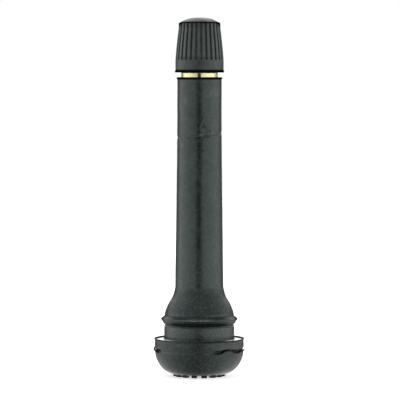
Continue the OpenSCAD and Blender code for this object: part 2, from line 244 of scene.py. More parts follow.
def screw_cut(angle, height, pitch):
    """Depth of a screw thread, from 0 on its crest to 1 in its root, at an angle and a height."""
    crest, root = 0.12, 0.14
    phase = (height / pitch - angle / TURN) % 1
    return held((abs(phase - 0.5) * 2 - crest) / (1 - crest - root))


def placed(name, mesh, material=None):
    """An object made from a mesh, which is used up, and put into the scene."""
    data = bpy.data.meshes.new(name)
    mesh.to_mesh(data)
    mesh.free()
    if material:
        data.materials.append(material)
    made = bpy.data.objects.new(name, data)
    bpy.context.scene.collection.objects.link(made)
    return made


def piece(name, mesh, material, body, nodes):
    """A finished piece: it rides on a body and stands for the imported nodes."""
    made = placed(name, mesh, material)
    made.data.shade_smooth()
    made.data.set_sharp_from_angle(angle=SHARP_ANGLE)
    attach(made, body)
    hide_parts(*nodes)
    return made


# Shader maths

class Signal:
    """A socket's value, with arithmetic that adds Math nodes."""

    def __init__(self, graph, socket):
        self.graph = graph
        self.socket = socket

    def math(self, operation, *values):
        inputs = dict(enumerate((self,) + values))
        return self.graph.add("ShaderNodeMath", {"operation": operation}, inputs)

    def __add__(self, other):
        return self.math("ADD", other)

    def __sub__(self, other):
        return self.math("SUBTRACT", other)

    def __rsub__(self, other):
        return self.math("MULTIPLY_ADD", -1.0, other)

    def __mul__(self, other):
        return self.math("MULTIPLY", other)

    __radd__ = __add__
    __rmul__ = __mul__

    def limited(self):
        """The value held between 0 and 1."""
        return self.graph.add("ShaderNodeClamp", inputs={"Value": self})


class Graph:
    """The nodes of a material or the world, with its shader and with coordinates in millimetres."""

    def __init__(self, owner, shader="Principled BSDF"):
        owner.use_nodes = True
        self.owner = owner
        self.tree = owner.node_tree
        self.shader = self.tree.nodes[shader]

    def feed(self, socket, value):
        """Links a signal to a socket, or sets the socket to a plain value."""
        if isinstance(value, Signal):
            self.tree.links.new(value.socket, socket)
        else:
            socket.default_value = value

    def add(self, kind, settings=None, inputs=None, output=0):
        """Adds any node: its settings first, then its sockets' values or links."""
        node = self.tree.nodes.new(kind)
        for key, value in (settings or {}).items():
            setattr(node, key, value)
        for key, value in (inputs or {}).items():
            self.feed(node.inputs[key], value)
        return Signal(self, node.outputs[output])

    def place(self, scale=(1, 1, 1)):
        """Object coordinates in millimetres, stretched by a scale."""
        spot = self.add("ShaderNodeTexCoord", output="Object")
        return self.add("ShaderNodeMapping", inputs={"Vector": spot, "Scale": [s / MM for s in scale]})

    def height(self):
        """Height above the base, in millimetres."""
        return self.add("ShaderNodeSeparateXYZ", inputs={"Vector": self.place()}, output="Z")

    def noise(self, scale, detail=4.0, rough=0.55, stretch=(1, 1, 1)):
        """Noise with a number of features to the millimetre."""
        inputs = {"Vector": self.place(stretch), "Scale": scale, "Detail": detail, "Roughness": rough}
        return self.add("ShaderNodeTexNoise", inputs=inputs)

    def ramp(self, value, low, high):
        """A smooth rise from 0 to 1 as a value goes from low to high."""
        inputs = {"Value": value, "From Min": low, "From Max": high}
        return self.add("ShaderNodeMapRange", {"interpolation_type": "SMOOTHSTEP"}, inputs)

    def mix(self, factor, first, second):
        """A colour between two colours."""
        inputs = {0: factor, 6: first, 7: second}
        return self.add("ShaderNodeMix", {"data_type": "RGBA"}, inputs, output=2)

    def attribute(self, name):
        """A value kept on the mesh's vertices."""
        return self.add("ShaderNodeAttribute", {"attribute_name": name}, output="Fac")

    def bump(self, height, depth):
        """Feeds the shader's normal with a relief of a height, in metres."""
        inputs = {"Height": height, "Distance": depth, "Strength": 1.0}
        self.set("Normal", self.add("ShaderNodeBump", inputs=inputs))

    def set(self, socket, value):
        """Sets or links one of the shader's sockets."""
        self.feed(self.shader.inputs[socket], value)

    def cover(self, factor):
        """Lays matte black over the shader, as much as a factor says: the painted shade."""
        black = self.add("ShaderNodeBsdfDiffuse", inputs={"Color": (0.004, 0.004, 0.005, 1)})
        inputs = {0: factor, 1: Signal(self, self.shader.outputs[0]), 2: black}
        covered = self.add("ShaderNodeMixShader", inputs=inputs)
        self.feed(self.tree.nodes["Material Output"].inputs["Surface"], covered)


def new_material(name):
    """The nodes of a new material."""
    return Graph(bpy.data.materials.new(name))


def rgba(shade):
    """A colour property as four numbers."""
    return (*shade, 1.0)


def grey(value):
    """A grey as four numbers."""
    return (value, value, value, 1.0)


# Heights in millimetres between which a finish of the rubber, or the painted light over the groove, sets in or
# fades out
STEM_FADE = (16, 20)
WORN_FADE = (36, 20)
FLECK_FADE = (30, 22)
GROOVE_LIGHT_FADES = ((8, 9), (11.5, 10.5))


def moulded_rubber(sizes):
    """Black moulded rubber: dusty bloom, flecks, fine grain, drawn streaks and scuffs, with painted light over
    the groove and painted shade laid on in black.
    """
    graph = new_material("moulded_rubber")
    height = graph.height()
    grain = graph.noise(6.5, 5.0, 0.62)
    mottle = graph.noise(1.1, 5.0, 0.6)
    cloud = graph.noise(0.3, 3.0, 0.5)
    fleck = graph.noise(1.9, 3.0, 0.6)
    streak = graph.noise(2.6, 4.0, 0.6, (1, 1, 0.05))
    polish = graph.attribute("polish")
    on_stem = graph.ramp(height, *STEM_FADE)
    worn = graph.ramp(height, *WORN_FADE) * on_stem
    low = graph.ramp(height, *FLECK_FADE)
    groove_light = graph.ramp(height, *GROOVE_LIGHT_FADES[0]) * graph.ramp(height, *GROOVE_LIGHT_FADES[1])
    bloom = graph.ramp(mottle + 0.5 * cloud + 0.12 * worn, 0.62, 1.0)
    drawn = graph.ramp(streak, 0.5, 0.8) * on_stem
    speckle = graph.ramp(grain, 0.48, 0.8) * (0.35 + worn)
    scuff = graph.attribute("scuff") * graph.ramp(grain, 0.3, 0.6)
    flecked = graph.ramp(fleck, 0.48, 0.7) * (low + groove_light)
    # Bloom, streaks, speckles and flecks, plus painted light over the groove's wall
    dust_and_light = bloom * (0.5 - 0.3 * low) + 0.3 * drawn + 0.3 * speckle + 0.7 * flecked + 0.5 * groove_light
    skin = graph.mix(dust_and_light.limited(), rgba(sizes.dark), rgba(sizes.pale))
    graph.set("Base Color", graph.mix(scuff.limited(), skin, rgba(sizes.scuffed)))
    graph.set("Coat Weight", graph.ramp(polish, 0.65, 0.95))
    graph.set("Coat Roughness", 0.05)
    rough = 0.14 + 0.14 * mottle + 0.08 * grain
    graph.set("Roughness", (rough * (1 - 0.75 * polish) + 0.3 * scuff).limited())
    graph.set("Specular IOR Level", 0.7)
    graph.set("Specular Tint", (0.82, 1.0, 0.96, 1.0))
    relief = grain + mottle * (0.6 + 0.6 * low) + 3.6 * fleck * low + 0.5 * streak * on_stem
    graph.bump(relief * (1 - 0.9 * polish), 0.011 * MM)
    # Painted shade: black laid where the mesh marks it
    graph.cover(graph.attribute("painted_shade"))
    return graph.owner


def moulded_plastic(sizes):
    """Black satin plastic, paler on the ridges, with painted shade laid on in black: in the flutes, on the bead
    and the shoulder's edge, and in blotches on the crown.
    """
    graph = new_material("moulded_plastic")
    grain = graph.noise(7.0, 4.0, 0.6)
    mottle = graph.noise(0.9, 4.0, 0.6)
    darker = graph.attribute("flute")
    ridge = graph.attribute("ridge")
    paler = ((1 - darker) * (0.3 + 0.4 * graph.ramp(mottle, 0.3, 0.75) + 0.5 * ridge)).limited()
    graph.set("Base Color", graph.mix(paler, rgba(sizes.dark), rgba(sizes.pale)))
    graph.set("Roughness", 0.25 + 0.16 * mottle)
    graph.set("Specular Tint", (0.85, 1.0, 0.94, 1.0))
    graph.bump(grain + mottle, 0.01 * MM)
    graph.cover(darker)
    return graph.owner


def turned_brass(name, shade):
    """Brass off the lathe, with fine turned rings, and a brown line of painted dark reflection where the mesh
    marks one.
    """
    graph = new_material(name)
    rings = graph.noise(9.0, 3.0, 0.6, (0.03, 0.03, 1))
    stain = graph.noise(0.7, 4.0, 0.6)
    darker = tuple(0.85 * c for c in shade)
    brass = graph.mix(graph.ramp(stain, 0.5, 0.8), rgba(shade), rgba(darker))
    # The painted dark reflection: a brown line over the brass
    graph.set("Base Color", graph.mix(graph.attribute("dark_reflection"), brass, (0.3, 0.2, 0.07, 1)))
    graph.set("Metallic", 0.75)
    graph.set("Roughness", 0.03 + 0.04 * rings + 0.03 * stain)
    graph.bump(rings, 0.003 * MM)
    return graph.owner


def drawn_steel(sizes):
    """Bright spring wire with a faint drawn grain."""
    graph = new_material("drawn_steel")
    grain = graph.noise(8.0, 3.0, 0.6)
    graph.set("Base Color", rgba(sizes.steel))
    graph.set("Metallic", 1.0)
    graph.set("Roughness", 0.22 + 0.16 * grain)
    graph.bump(grain, 0.003 * MM)
    return graph.owner


def seal_rubber():
    """Smooth black seal rubber with a fine grain, made once for all seals."""
    made = bpy.data.materials.get("seal_rubber")
    if made:
        return made
    graph = new_material("seal_rubber")
    grain = graph.noise(5.0, 4.0, 0.6)
    graph.set("Base Color", graph.mix(grain, (0.014, 0.014, 0.015, 1), (0.05, 0.05, 0.052, 1)))
    graph.set("Roughness", 0.45 + 0.2 * grain)
    graph.bump(grain, 0.006 * MM)
    return graph.owner


# The rubber body

BASE_Z = 0.5 * MM
FLANGE_Z = 8.1 * MM
GROOVE_LEN = 2.85 * MM
GROOVE_Z = FLANGE_Z + GROOVE_LEN
UNDERCUT_R = 0.28 * MM
UNDERCUT_DEPTH = 0.16 * MM
LIP_SLOPE_H = 1.2 * MM
LIP_EDGE_H = 0.2 * MM
LIP_TOP_H = 0.6 * MM
LIP_Z = GROOVE_Z + LIP_SLOPE_H
LIP_TOP_Z = LIP_Z + LIP_EDGE_H
BELL_Z = LIP_TOP_Z + LIP_TOP_H
CREVICE_W = 0.06 * MM
BELL_H = 6.25 * MM
BELL_HOLLOW_R = 5.2 * MM
BELL_SLOPE = math.radians(32.6)
TAPER_LEFT = 0.06 * MM
END_LIP_W = 0.13 * MM
END_LIP_H = 0.4 * MM
PAD_IN_R = 4.4 * MM
PAD_OUT_R = 5.6 * MM
PAD_ANGLE = math.radians(220)
PAD_EDGE = 0.08 * MM
AIR_HOLE_R = 2.2 * MM
BRASS_FOOT_H = 1.4 * MM
BRASS_FOOT_R = STEM_HIGH.x
LOWER_SHANK_LEN = 16 * MM
LOWER_SHANK_R = 3.05 * MM
SHANK_R = 3.55 * MM
COLLAR_LEN = 1.3 * MM
RING_COUNT = 4
RING_PITCH = 2 * MM
RING_R = 3.5 * MM
FIN_Z = 5.5 * MM
FIN_T = 0.2 * MM
NOTCH_Z = 6 * MM
NOTCH_DEPTH = 0.3 * MM
WALL_R = 9.53 * MM
RIDGE_W = 0.3 * MM
RIDGE_ROUND = 0.1 * MM
LEDGE_Z = FLANGE_Z - 0.22 * MM
GROOVE_FILLET_R = 0.3 * MM
# How the moulded skin leaves its drawn section: the swell of dome and bell, the sag of the dome's foot with
# its height, and the waviness of the rest
SWELL = 0.15 * MM
FOOT_SAG, SAG_H = 0.24 * MM, 2.6 * MM
UNEVEN = 0.03 * MM
UNEVEN_GRAIN = 4 * MM
# Where the painted shade on the flange's ridge is lighter: degrees from the front, half width, and the share
# taken off
LIGHTER_RIDGE_ANGLE, LIGHTER_RIDGE_HALF, LIGHTER_RIDGE_SHARE = -24, 24, 0.5
# How dark the painted shade is on the ridge, the fold over the groove, the step over the lip and the lip's tip
RIDGE_SHADE, FOLD_SHADE, STEP_SHADE, TIP_SHADE = 0.85, 0.65, 0.7, 0.85
# What the valve's sides take off the painted shade on the fold and the step, and how far aside that and the
# lip's tip set in
FOLD_LOSS, STEP_LOSS = 0.6, 0.1
SIDE_FADE, TIP_FADE = (0.55, 0.9), (0.88, 0.97)
# Steps of the section along its straight stretches, and round the axis
WALL_STEP, LEDGE_STEP = 0.25 * MM, 0.3 * MM
SLOPE_STEP, LIP_STEP = 0.15 * MM, 0.12 * MM
TAPER_STEP, CREASE_STEP, TOP_STEP = 0.6 * MM, 0.11 * MM, 0.22 * MM
RUBBER_STEPS = 208


def insert_profile(metal):
    """Outside of the brass stem inside the rubber, from the rubber's end down to the foot's underside."""
    top = RUBBER_HIGH.z
    foot_top = STEM_LOW.z + BRASS_FOOT_H
    lower_top = STEM_LOW.z + LOWER_SHANK_LEN
    points = [(metal.collar_r, top), (metal.collar_r, top - COLLAR_LEN), (SHANK_R, top - COLLAR_LEN),
              (SHANK_R, lower_top), (LOWER_SHANK_R, lower_top)]
    for i in range(RING_COUNT, 0, -1):
        ring_top = foot_top + i * RING_PITCH
        ring_low = ring_top - RING_PITCH / 2
        points += [(LOWER_SHANK_R, ring_top), (RING_R, ring_top)]
        points += [(RING_R, ring_low), (LOWER_SHANK_R, ring_low)]
    return points + [(LOWER_SHANK_R, foot_top), (BRASS_FOOT_R, foot_top), (BRASS_FOOT_R, STEM_LOW.z)]


def head_profile(rubber):
    """The base, the dome, the fin at the moulding line, the upright side and the flange's ridge."""
    centre = (rubber.head_r - rubber.dome_r, BASE_Z + rubber.dome_r)
    pad_in = -math.degrees(math.acos((PAD_IN_R - centre[0]) / rubber.dome_r))
    pad_out = -math.degrees(math.acos((PAD_OUT_R - centre[0]) / rubber.dome_r))
    dome_end = -4
    points = [(AIR_HOLE_R, BASE_Z)]
    points += arc(centre, rubber.dome_r, -90, pad_in, 1)
    points += arc(centre, rubber.dome_r, pad_in, pad_out, 3)
    points += arc(centre, rubber.dome_r, pad_out, dome_end, 24)
    fin_r = rubber.head_r
    points += [(fin_r, FIN_Z - 2 * FIN_T), (fin_r, FIN_Z - FIN_T), (fin_r + FIN_T, FIN_Z - FIN_T / 2),
               (fin_r + FIN_T, FIN_Z + FIN_T / 2), (fin_r, FIN_Z + FIN_T), (fin_r, NOTCH_Z - FIN_T),
               (fin_r, NOTCH_Z)]
    round_z = FLANGE_Z - RIDGE_ROUND
    inner_r = rubber.flange_r - RIDGE_W
    points += run((WALL_R, NOTCH_Z + FIN_T), (WALL_R, LEDGE_Z - RIDGE_ROUND), WALL_STEP)
    points += run((rubber.flange_r, LEDGE_Z + RIDGE_ROUND), (rubber.flange_r, round_z), RIDGE_ROUND)
    points += arc((rubber.flange_r - RIDGE_ROUND, round_z), RIDGE_ROUND, 0, 90, 4)
    points += arc((inner_r + RIDGE_ROUND, round_z), RIDGE_ROUND, 90, 180, 4)
    return points + [(inner_r, LEDGE_Z)]


def groove_profile(rubber):
    """The flange's ledge, the rim groove with a fillet below and an undercut above, and the lip."""
    root_r = rubber.groove_r - UNDERCUT_DEPTH
    centre_r = root_r + UNDERCUT_R
    low = (rubber.groove_r + GROOVE_FILLET_R, LEDGE_Z + GROOVE_FILLET_R)
    high = (centre_r, GROOVE_Z)
    open_angle = math.degrees(math.acos((rubber.groove_r - centre_r) / UNDERCUT_R))
    slope = (rubber.lip_r - root_r, LIP_SLOPE_H)
    share = 2 * UNDERCUT_R * slope[0] / (slope[0] ** 2 + slope[1] ** 2)
    leave = (root_r + share * slope[0], high[1] + share * slope[1])
    points = run((rubber.flange_r - RIDGE_W - RIDGE_ROUND / 2, LEDGE_Z), (low[0], LEDGE_Z), LEDGE_STEP)
    points += arc(low, GROOVE_FILLET_R, 270, 180, 8)
    points += run((rubber.groove_r, low[1]), (rubber.groove_r, high[1] - UNDERCUT_R), WALL_STEP)
    points += arc(high, UNDERCUT_R, 360 - open_angle, angle_of(leave, high), 10)
    points += run(leave, (rubber.lip_r - LIP_EDGE_H / 3, LIP_Z - LIP_EDGE_H / 6), SLOPE_STEP)
    points += [(rubber.lip_r, LIP_Z + LIP_EDGE_H / 4), (rubber.lip_r, LIP_TOP_Z - LIP_EDGE_H / 4)]
    slope_start = (rubber.lip_r - LIP_EDGE_H / 3, LIP_TOP_Z + LIP_EDGE_H / 6)
    return points + run(slope_start, (rubber.bell_r + CREVICE_W, BELL_Z - CREVICE_W), LIP_STEP)


def stem_profile(rubber):
    """The bell, made of a full arc and a hollow arc, then the tapered and the straight stem."""
    stem_z = BELL_Z + BELL_H
    outward = Vector((math.cos(BELL_SLOPE), math.sin(BELL_SLOPE)))
    hollow = Vector((rubber.stem_base_r + BELL_HOLLOW_R, stem_z))
    turn = hollow - BELL_HOLLOW_R * outward
    chord = Vector((rubber.bell_r, BELL_Z)) - turn
    full_r = -chord.length_squared / (2 * chord.dot(outward))
    full = turn - full_r * outward
    slope = math.degrees(BELL_SLOPE)
    end_lip_z = RUBBER_HIGH.z - END_LIP_H
    lip_r = rubber.stem_top_r + END_LIP_W
    points = arc(full, full_r, angle_of((rubber.bell_r, BELL_Z), full), slope, 14)
    points += arc(hollow, BELL_HOLLOW_R, 180 + slope, 180, 14)
    points += run(points[-1], (rubber.stem_top_r + TAPER_LEFT, CREASE_LOW_Z), TAPER_STEP)
    points += run(points[-1], (rubber.stem_top_r, CREASE_HIGH_Z), CREASE_STEP)
    points += run(points[-1], (rubber.stem_top_r, end_lip_z), TOP_STEP)
    return points + [(lip_r, end_lip_z + END_LIP_W / 2), (lip_r, RUBBER_HIGH.z - END_LIP_W / 2),
                     (lip_r - END_LIP_W / 2, RUBBER_HIGH.z)]


# The bent stem's crease: a tilted ring, with short wrinkles beside it
CREASE_Z = 51.5 * MM
CREASE_TILT = 0.5 * MM
CREASE_W = 0.24 * MM
CREASE_WANDER = 0.16 * MM
# Where the crease is shallow, and half the width of that stretch
CREASE_EASE, EASE_HALF = math.radians(28), 0.35
CREASE_LOW_Z = 46.5 * MM
CREASE_HIGH_Z = 56 * MM
# Each wrinkle: degrees from the front, height, lean, half length in radians, half width and depth
WRINKLES = (
    (-2, 50.8, 0.6, 0.18, 0.24, 0.09),
    (12, 52.4, 0.0, 0.15, 1.1, 0.1),
    (7, 53.7, 8.0, 0.12, 0.5, 0.045),
    (2, 48.4, 0.3, 0.2, 0.2, 0.07),
    (-56, 49.2, 1.8, 0.16, 0.22, 0.07),
    (34, 52.4, -0.8, 0.2, 0.22, 0.05),
    (150, 51.8, 0.5, 0.4, 0.25, 0.07),
    (-140, 50.6, -0.4, 0.35, 0.25, 0.06),
)
# Fine crumpling beside the crease: where it is strongest, how far it spreads and its grain
CRUMPLE_ANGLE = math.radians(18)
CRUMPLE_SPREAD = math.radians(30)
CRUMPLE_Z = 51.8 * MM
CRUMPLE_H = 1.7 * MM
CRUMPLE_GRAIN = 0.42 * MM
CRUMPLE_DEPTH = 0.06 * MM


def crumple_at(rubber, angle, height):
    """How far the fine crumpling moves the stem's skin, at an angle and a height."""
    along = turn_apart(angle, FRONT + CRUMPLE_ANGLE) / CRUMPLE_SPREAD
    strength = (0.3 + 0.7 * math.exp(-along ** 2)) * math.exp(-((height - CRUMPLE_Z) / CRUMPLE_H) ** 2)
    reach = rubber.stem_top_r / CRUMPLE_GRAIN
    spot = Vector((reach * math.cos(angle), reach * math.sin(angle), height / CRUMPLE_GRAIN))
    return CRUMPLE_DEPTH * strength * (noise.noise(spot) + 0.5 * noise.noise(2.2 * spot))


def crease_at(rubber, angle, height):
    """How far the crease and its wrinkles push the stem's skin in, at an angle and a height."""
    wander = CREASE_WANDER * noise.noise(Vector((3 * math.cos(angle), 3 * math.sin(angle), 0.5)))
    ring_z = CREASE_Z + CREASE_TILT * math.cos(angle) + wander
    pull = 0.75 + 0.5 * noise.noise(Vector((2 * math.cos(angle), 2 * math.sin(angle), 7.3)))
    pull -= 0.45 * math.exp(-(turn_apart(angle, FRONT + CREASE_EASE) / EASE_HALF) ** 2)
    push = rubber.crease_depth * pull * math.exp(-((height - ring_z) / CREASE_W) ** 2)
    for degrees, z, lean, half, width, depth in WRINKLES:
        along = turn_apart(angle, FRONT + math.radians(degrees))
        across = (height - (z + lean * along) * MM) / (width * MM)
        fold = math.exp(-(along / half) ** 2)
        push += depth * MM * fold * (math.exp(-across ** 2) - 0.5 * math.exp(-(across - 1.8) ** 2))
    return push + crumple_at(rubber, angle, height)


# The ragged fin at the moulding line: degrees from the front, half width, share, the tip's rise,
# its thickness and the painted shade in the notch
FIN_PATCHES = ((57, 40, 1.0, 0.15, 0.5, 0.45), (-88, 28, 1.0, 0.3, 2.4, 0.2), (150, 36, 0.7, 0.1, 1.0, 0.6),
               (-140, 30, 0.8, 0.2, 1.0, 0.4))
# Waves of the moulding line: degrees from the front, half width and rise
FIN_WAVES = ((40, 8, 0.5), (57, 9, -0.18), (24, 8, -0.08), (-66, 10, -0.25))
# Shares of a patch's half width between which the fin sets in
FIN_FADE = (1.1, 0.75)
# Wander of the fin's line, and the torn grain of the side above it
FIN_WANDER, TORN_GRAIN = 0.12 * MM, 0.06 * MM
FIN_LOW_Z = FIN_Z - 3 * FIN_T
FIN_HIGH_Z = NOTCH_Z + MM


def shape_fin(vert, rubber):
    """Draws the fin out of the moulding line, or smooths that line away, and gives the painted shade on its tip
    and notch.
    """
    radius, angle = polar(vert.co)
    height = vert.co.z
    spot = Vector((9 * math.cos(angle), 9 * math.sin(angle), 1.7))
    share, flap, thick, notch = 0, 0, 1, 0
    for degrees, half, strength, tip_rise, tip_thick, painted_shade in FIN_PATCHES:
        apart = aside_of(angle, degrees) / half
        here = strength * smooth_step(abs(apart), *FIN_FADE)
        share = max(share, here)
        flap += tip_rise * MM * here
        thick += (tip_thick - 1) * here
        notch = max(notch, painted_shade * here * held(0.7 + 1.2 * noise.noise(1.9 * spot), 0.3))
    ragged = 1.05 + 0.5 * noise.noise(spot) + 0.3 * noise.noise(3.1 * spot)
    rise = FIN_WANDER * noise.noise(0.7 * spot) * share
    for degrees, half, wave in FIN_WAVES:
        apart = aside_of(angle, degrees) / half
        rise += wave * MM * math.exp(-apart ** 2)
    rise *= between(height, FIN_Z - FIN_T, NOTCH_Z, 2 * FIN_T)
    dark = 0
    skin_r = rubber.head_r + SWELL
    if height > NOTCH_Z + FIN_T / 2:
        smooth = (1 - share) * smooth_step(height, FIN_HIGH_Z, NOTCH_Z)
        radius -= smooth * (WALL_R - skin_r)
        radius += TORN_GRAIN * share * noise.noise(4 * spot + Vector((0, 0, height / MM)))
    elif height > FIN_Z + 1.2 * FIN_T:
        radius = skin_r - share * NOTCH_DEPTH
        # Painted shade in the notch above the fin
        dark = notch
    elif radius > rubber.head_r + FIN_T / 2:
        radius = skin_r + (rubber.fin_r - skin_r) * share * held(ragged, 0.15)
        rise += flap + (thick - 1) * (height - FIN_Z)
        # Painted shade on the fin's tip
        dark = share
    else:
        radius += swell_at(height)
    set_polar(vert, min(radius, rubber.fin_r), angle, height + rise)
    return dark


def swell_at(height):
    """How far the moulded dome and bell stand proud of their drawn section."""
    dome = between(height, BASE_Z + MM, FIN_Z, 0.7 * MM)
    bell = between(height, BELL_Z + MM, BELL_Z + BELL_H - MM, MM)
    return SWELL * max(dome, 0.6 * bell)


def painted_shade_at(radius, angle, height):
    """How dark the painted shade on the rubber is: on the flange's ridge, over the groove, on and over the lip,
    at the end.
    """
    side = abs(math.sin(angle - FRONT))
    at_side = smooth_step(side, *SIDE_FADE)
    # How far from the place where the ridge's painted shade is lighter
    paler = aside_of(angle, LIGHTER_RIDGE_ANGLE) / LIGHTER_RIDGE_HALF
    ridge = smooth_step(radius, WALL_R - RIDGE_W, WALL_R - RIDGE_W / 2)
    ridge *= between(height, LEDGE_Z + RIDGE_ROUND / 2, FLANGE_Z, RIDGE_ROUND / 2)
    ridge *= RIDGE_SHADE - LIGHTER_RIDGE_SHARE * math.exp(-paler ** 2)
    fold = between(height, GROOVE_Z, GROOVE_Z + 0.65 * LIP_SLOPE_H, LIP_SLOPE_H / 10)
    fold *= FOLD_SHADE * (1 - FOLD_LOSS * at_side)
    step_z = LIP_TOP_Z + LIP_TOP_H / 3 * (1 - smooth_step(side, 0.5, 0.9))
    step = between(height, step_z, LIP_TOP_Z + 1.2 * LIP_TOP_H, LIP_TOP_H / 5)
    step *= STEP_SHADE - STEP_LOSS * at_side
    tip = between(height, LIP_Z, LIP_TOP_Z + LIP_TOP_H / 2, LIP_EDGE_H / 2)
    tip *= TIP_SHADE * smooth_step(side, *TIP_FADE)
    end = smooth_step(height, RUBBER_HIGH.z - 1.4 * END_LIP_H, RUBBER_HIGH.z - END_LIP_H)
    return max(ridge, fold, step, tip, end)


def polish_at(rubber, radius, height):
    """How smooth the rubber is: the ledge that seals on the rim, and the dome's lower edge."""
    inside_r = rubber.groove_r + GROOVE_FILLET_R / 2
    ledge = between(height, LEDGE_Z, LEDGE_Z, RIDGE_ROUND)
    ledge *= smooth_step(radius, inside_r, inside_r + RIDGE_ROUND)
    foot = smooth_step(height, BASE_Z + 1.4 * MM, BASE_Z + 0.6 * MM)
    return max(ledge, 0.6 * foot)


# Pale scuffs on the stem and the flange: degrees from the front, height, half width in degrees, half height
# and strength
SCUFFS = ((31, 60.5, 5, 0.5, 0.9), (50, 60.2, 8, 0.4, 0.7), (20, 59.8, 7, 0.3, 0.6),
          (-39, 58.9, 6, 0.6, 0.5), (-53, 49.5, 6, 0.5, 0.9), (36, 52.1, 5, 0.4, 0.7),
          (6, 51.6, 6, 0.3, 0.9), (-60, 46.5, 10, 2.0, 0.2), (-4, 51.45, 9, 0.14, 0.5),
          (10, 52.5, 4, 0.3, 0.5), (22, 51.9, 4, 0.25, 0.4), (30, 7.0, 16, 0.5, 0.15),
          (60, 6.9, 14, 0.5, 0.15))
# Painted shade in the crease's folds, as black spots: the same numbers
CREASE_SHADE_SPOTS = ((-2, 51.05, 7, 0.17, 0.9), (2, 52.15, 5, 0.17, 0.7), (14, 51.2, 6, 0.13, 0.5),
                (24, 51.15, 5, 0.16, 0.6), (14, 53.4, 3, 0.3, 0.5), (27, 52.5, 4, 0.2, 0.5),
                (1, 48.5, 9, 0.12, 0.4))


def strongest(spots, angle, height):
    """The strongest of some soft spots at an angle and a height."""
    worn = 0
    for degrees, z, half, half_height, strength in spots:
        along = aside_of(angle, degrees) / half
        across = (height - z * MM) / (half_height * MM)
        worn = max(worn, strength * math.exp(-along ** 2 - across ** 2))
    return worn


def shape_rubber(mesh, rubber):
    """Presses the crease, the fin, the foot's sag and slight waves into the rubber, and marks its skin: painted
    shade, polish and scuffs.
    """
    painted_shade_mark = mark(mesh, "painted_shade")
    polish_mark = mark(mesh, "polish")
    scuff_mark = mark(mesh, "scuff")
    skin_r = rubber.stem_top_r - 0.3 * MM
    for vert in mesh.verts:
        radius, angle = polar(vert.co)
        height = vert.co.z
        vert[painted_shade_mark] = painted_shade_at(radius, angle, height)
        vert[polish_mark] = polish_at(rubber, radius, height)
        vert[scuff_mark] = strongest(SCUFFS, angle, height)
        if radius > skin_r and CREASE_LOW_Z < height < CREASE_HIGH_Z:
            # Painted shade in the crease's folds
            vert[painted_shade_mark] = strongest(CREASE_SHADE_SPOTS, angle, height)
            edge = between(height, CREASE_LOW_Z + MM, CREASE_HIGH_Z - MM, MM)
            set_polar(vert, radius - edge * crease_at(rubber, angle, height), angle, height)
        elif radius > rubber.head_r - FIN_T and FIN_LOW_Z < height < FIN_HIGH_Z:
            vert[painted_shade_mark] = shape_fin(vert, rubber)
        elif radius > skin_r and height < RUBBER_HIGH.z - END_LIP_H and height > BASE_Z + MERGE:
            uneven = UNEVEN * noise.noise(vert.co / UNEVEN_GRAIN) * smooth_step(height, BASE_Z, BASE_Z + MM)
            set_polar(vert, min(radius + uneven + swell_at(height), rubber.flange_r), angle, height)
        if radius > skin_r or height < BASE_Z + MERGE:
            vert.co.z -= FOOT_SAG * smooth_step(height, BASE_Z + SAG_H, BASE_Z + SAG_H / 10)


def raise_pads(mesh, rubber):
    """Draws the pads out of the base, down to the level that the valve stands on."""
    half = PAD_ANGLE / rubber.pad_count / 2
    pitch = TURN / rubber.pad_count
    chosen = []
    for face in mesh.faces:
        middle = face.calc_center_median()
        radius, angle = polar(middle)
        on_ring = PAD_IN_R < radius < PAD_OUT_R and middle.z < BASE_Z + MM / 2
        if on_ring and abs(turn_apart(angle % pitch, pitch / 2)) < half:
            chosen.append(face)
    drawn = bmesh.ops.extrude_face_region(mesh, geom=chosen)["geom"]
    bmesh.ops.delete(mesh, geom=chosen, context="FACES")
    painted_shade_mark = mesh.verts.layers.float["painted_shade"]
    for vert in (item for item in drawn if isinstance(item, bmesh.types.BMVert)):
        vert.co.z = RUBBER_LOW.z
        # The pads are painted black as shade
        vert[painted_shade_mark] = 1
    rims = [edge for edge in mesh.edges if edge.is_manifold and edge.calc_face_angle() > 1
            and max(v.co.z for v in edge.verts) < RUBBER_LOW.z + MM / 100]
    soften(mesh, rims, PAD_EDGE)
    for vert in mesh.verts:
        vert.co.z = max(vert.co.z, RUBBER_LOW.z)
    tidy(mesh)


class VALVE_OT_rubber_body(bpy.types.Operator):
    """Builds the moulded rubber: head, rim groove, lip, bell and creased stem"""
    bl_idname = "valve.rubber_body"
    bl_label = "Rubber Body"

    def execute(self, context):
        rubber = context.scene.valve_rubber
        outside = head_profile(rubber) + groove_profile(rubber) + stem_profile(rubber)
        inside = insert_profile(context.scene.valve_metal) + [(AIR_HOLE_R, STEM_LOW.z)]
        mesh = turned(outside + inside, steps=RUBBER_STEPS, closed=True)
        shape_rubber(mesh, rubber)
        raise_pads(mesh, rubber)
        piece("rubber_moulding", mesh, moulded_rubber(rubber), "valve_stem", ["rubber_body"])
        return {"FINISHED"}


# The brass stem

TIP_CHAMFER = 0.6 * MM
MOUTH_CHAMFER = 0.3 * MM
PASSAGE_R = 1.6 * MM
CHAMBER_R = 2.07 * MM
CORE_BORE_R = 2.65 * MM
GASKET_FLARE = 0.38 * MM
CHAMBER_ROOM = 1.5 * MM
SEAT_GAP = 0.02 * MM
THREAD_STEP = 0.09 * MM
COLLAR_STEP = 0.2 * MM
BRASS_STEPS = 160
# The painted dark reflection on the collar, a brown line: degrees from the front, half width, half width of its
# middle, and share
DARK_REFLECTION_ANGLE, DARK_REFLECTION_HALF, DARK_REFLECTION_MIDDLE, DARK_REFLECTION_SHARE = -2, 5, 1.5, 0.55


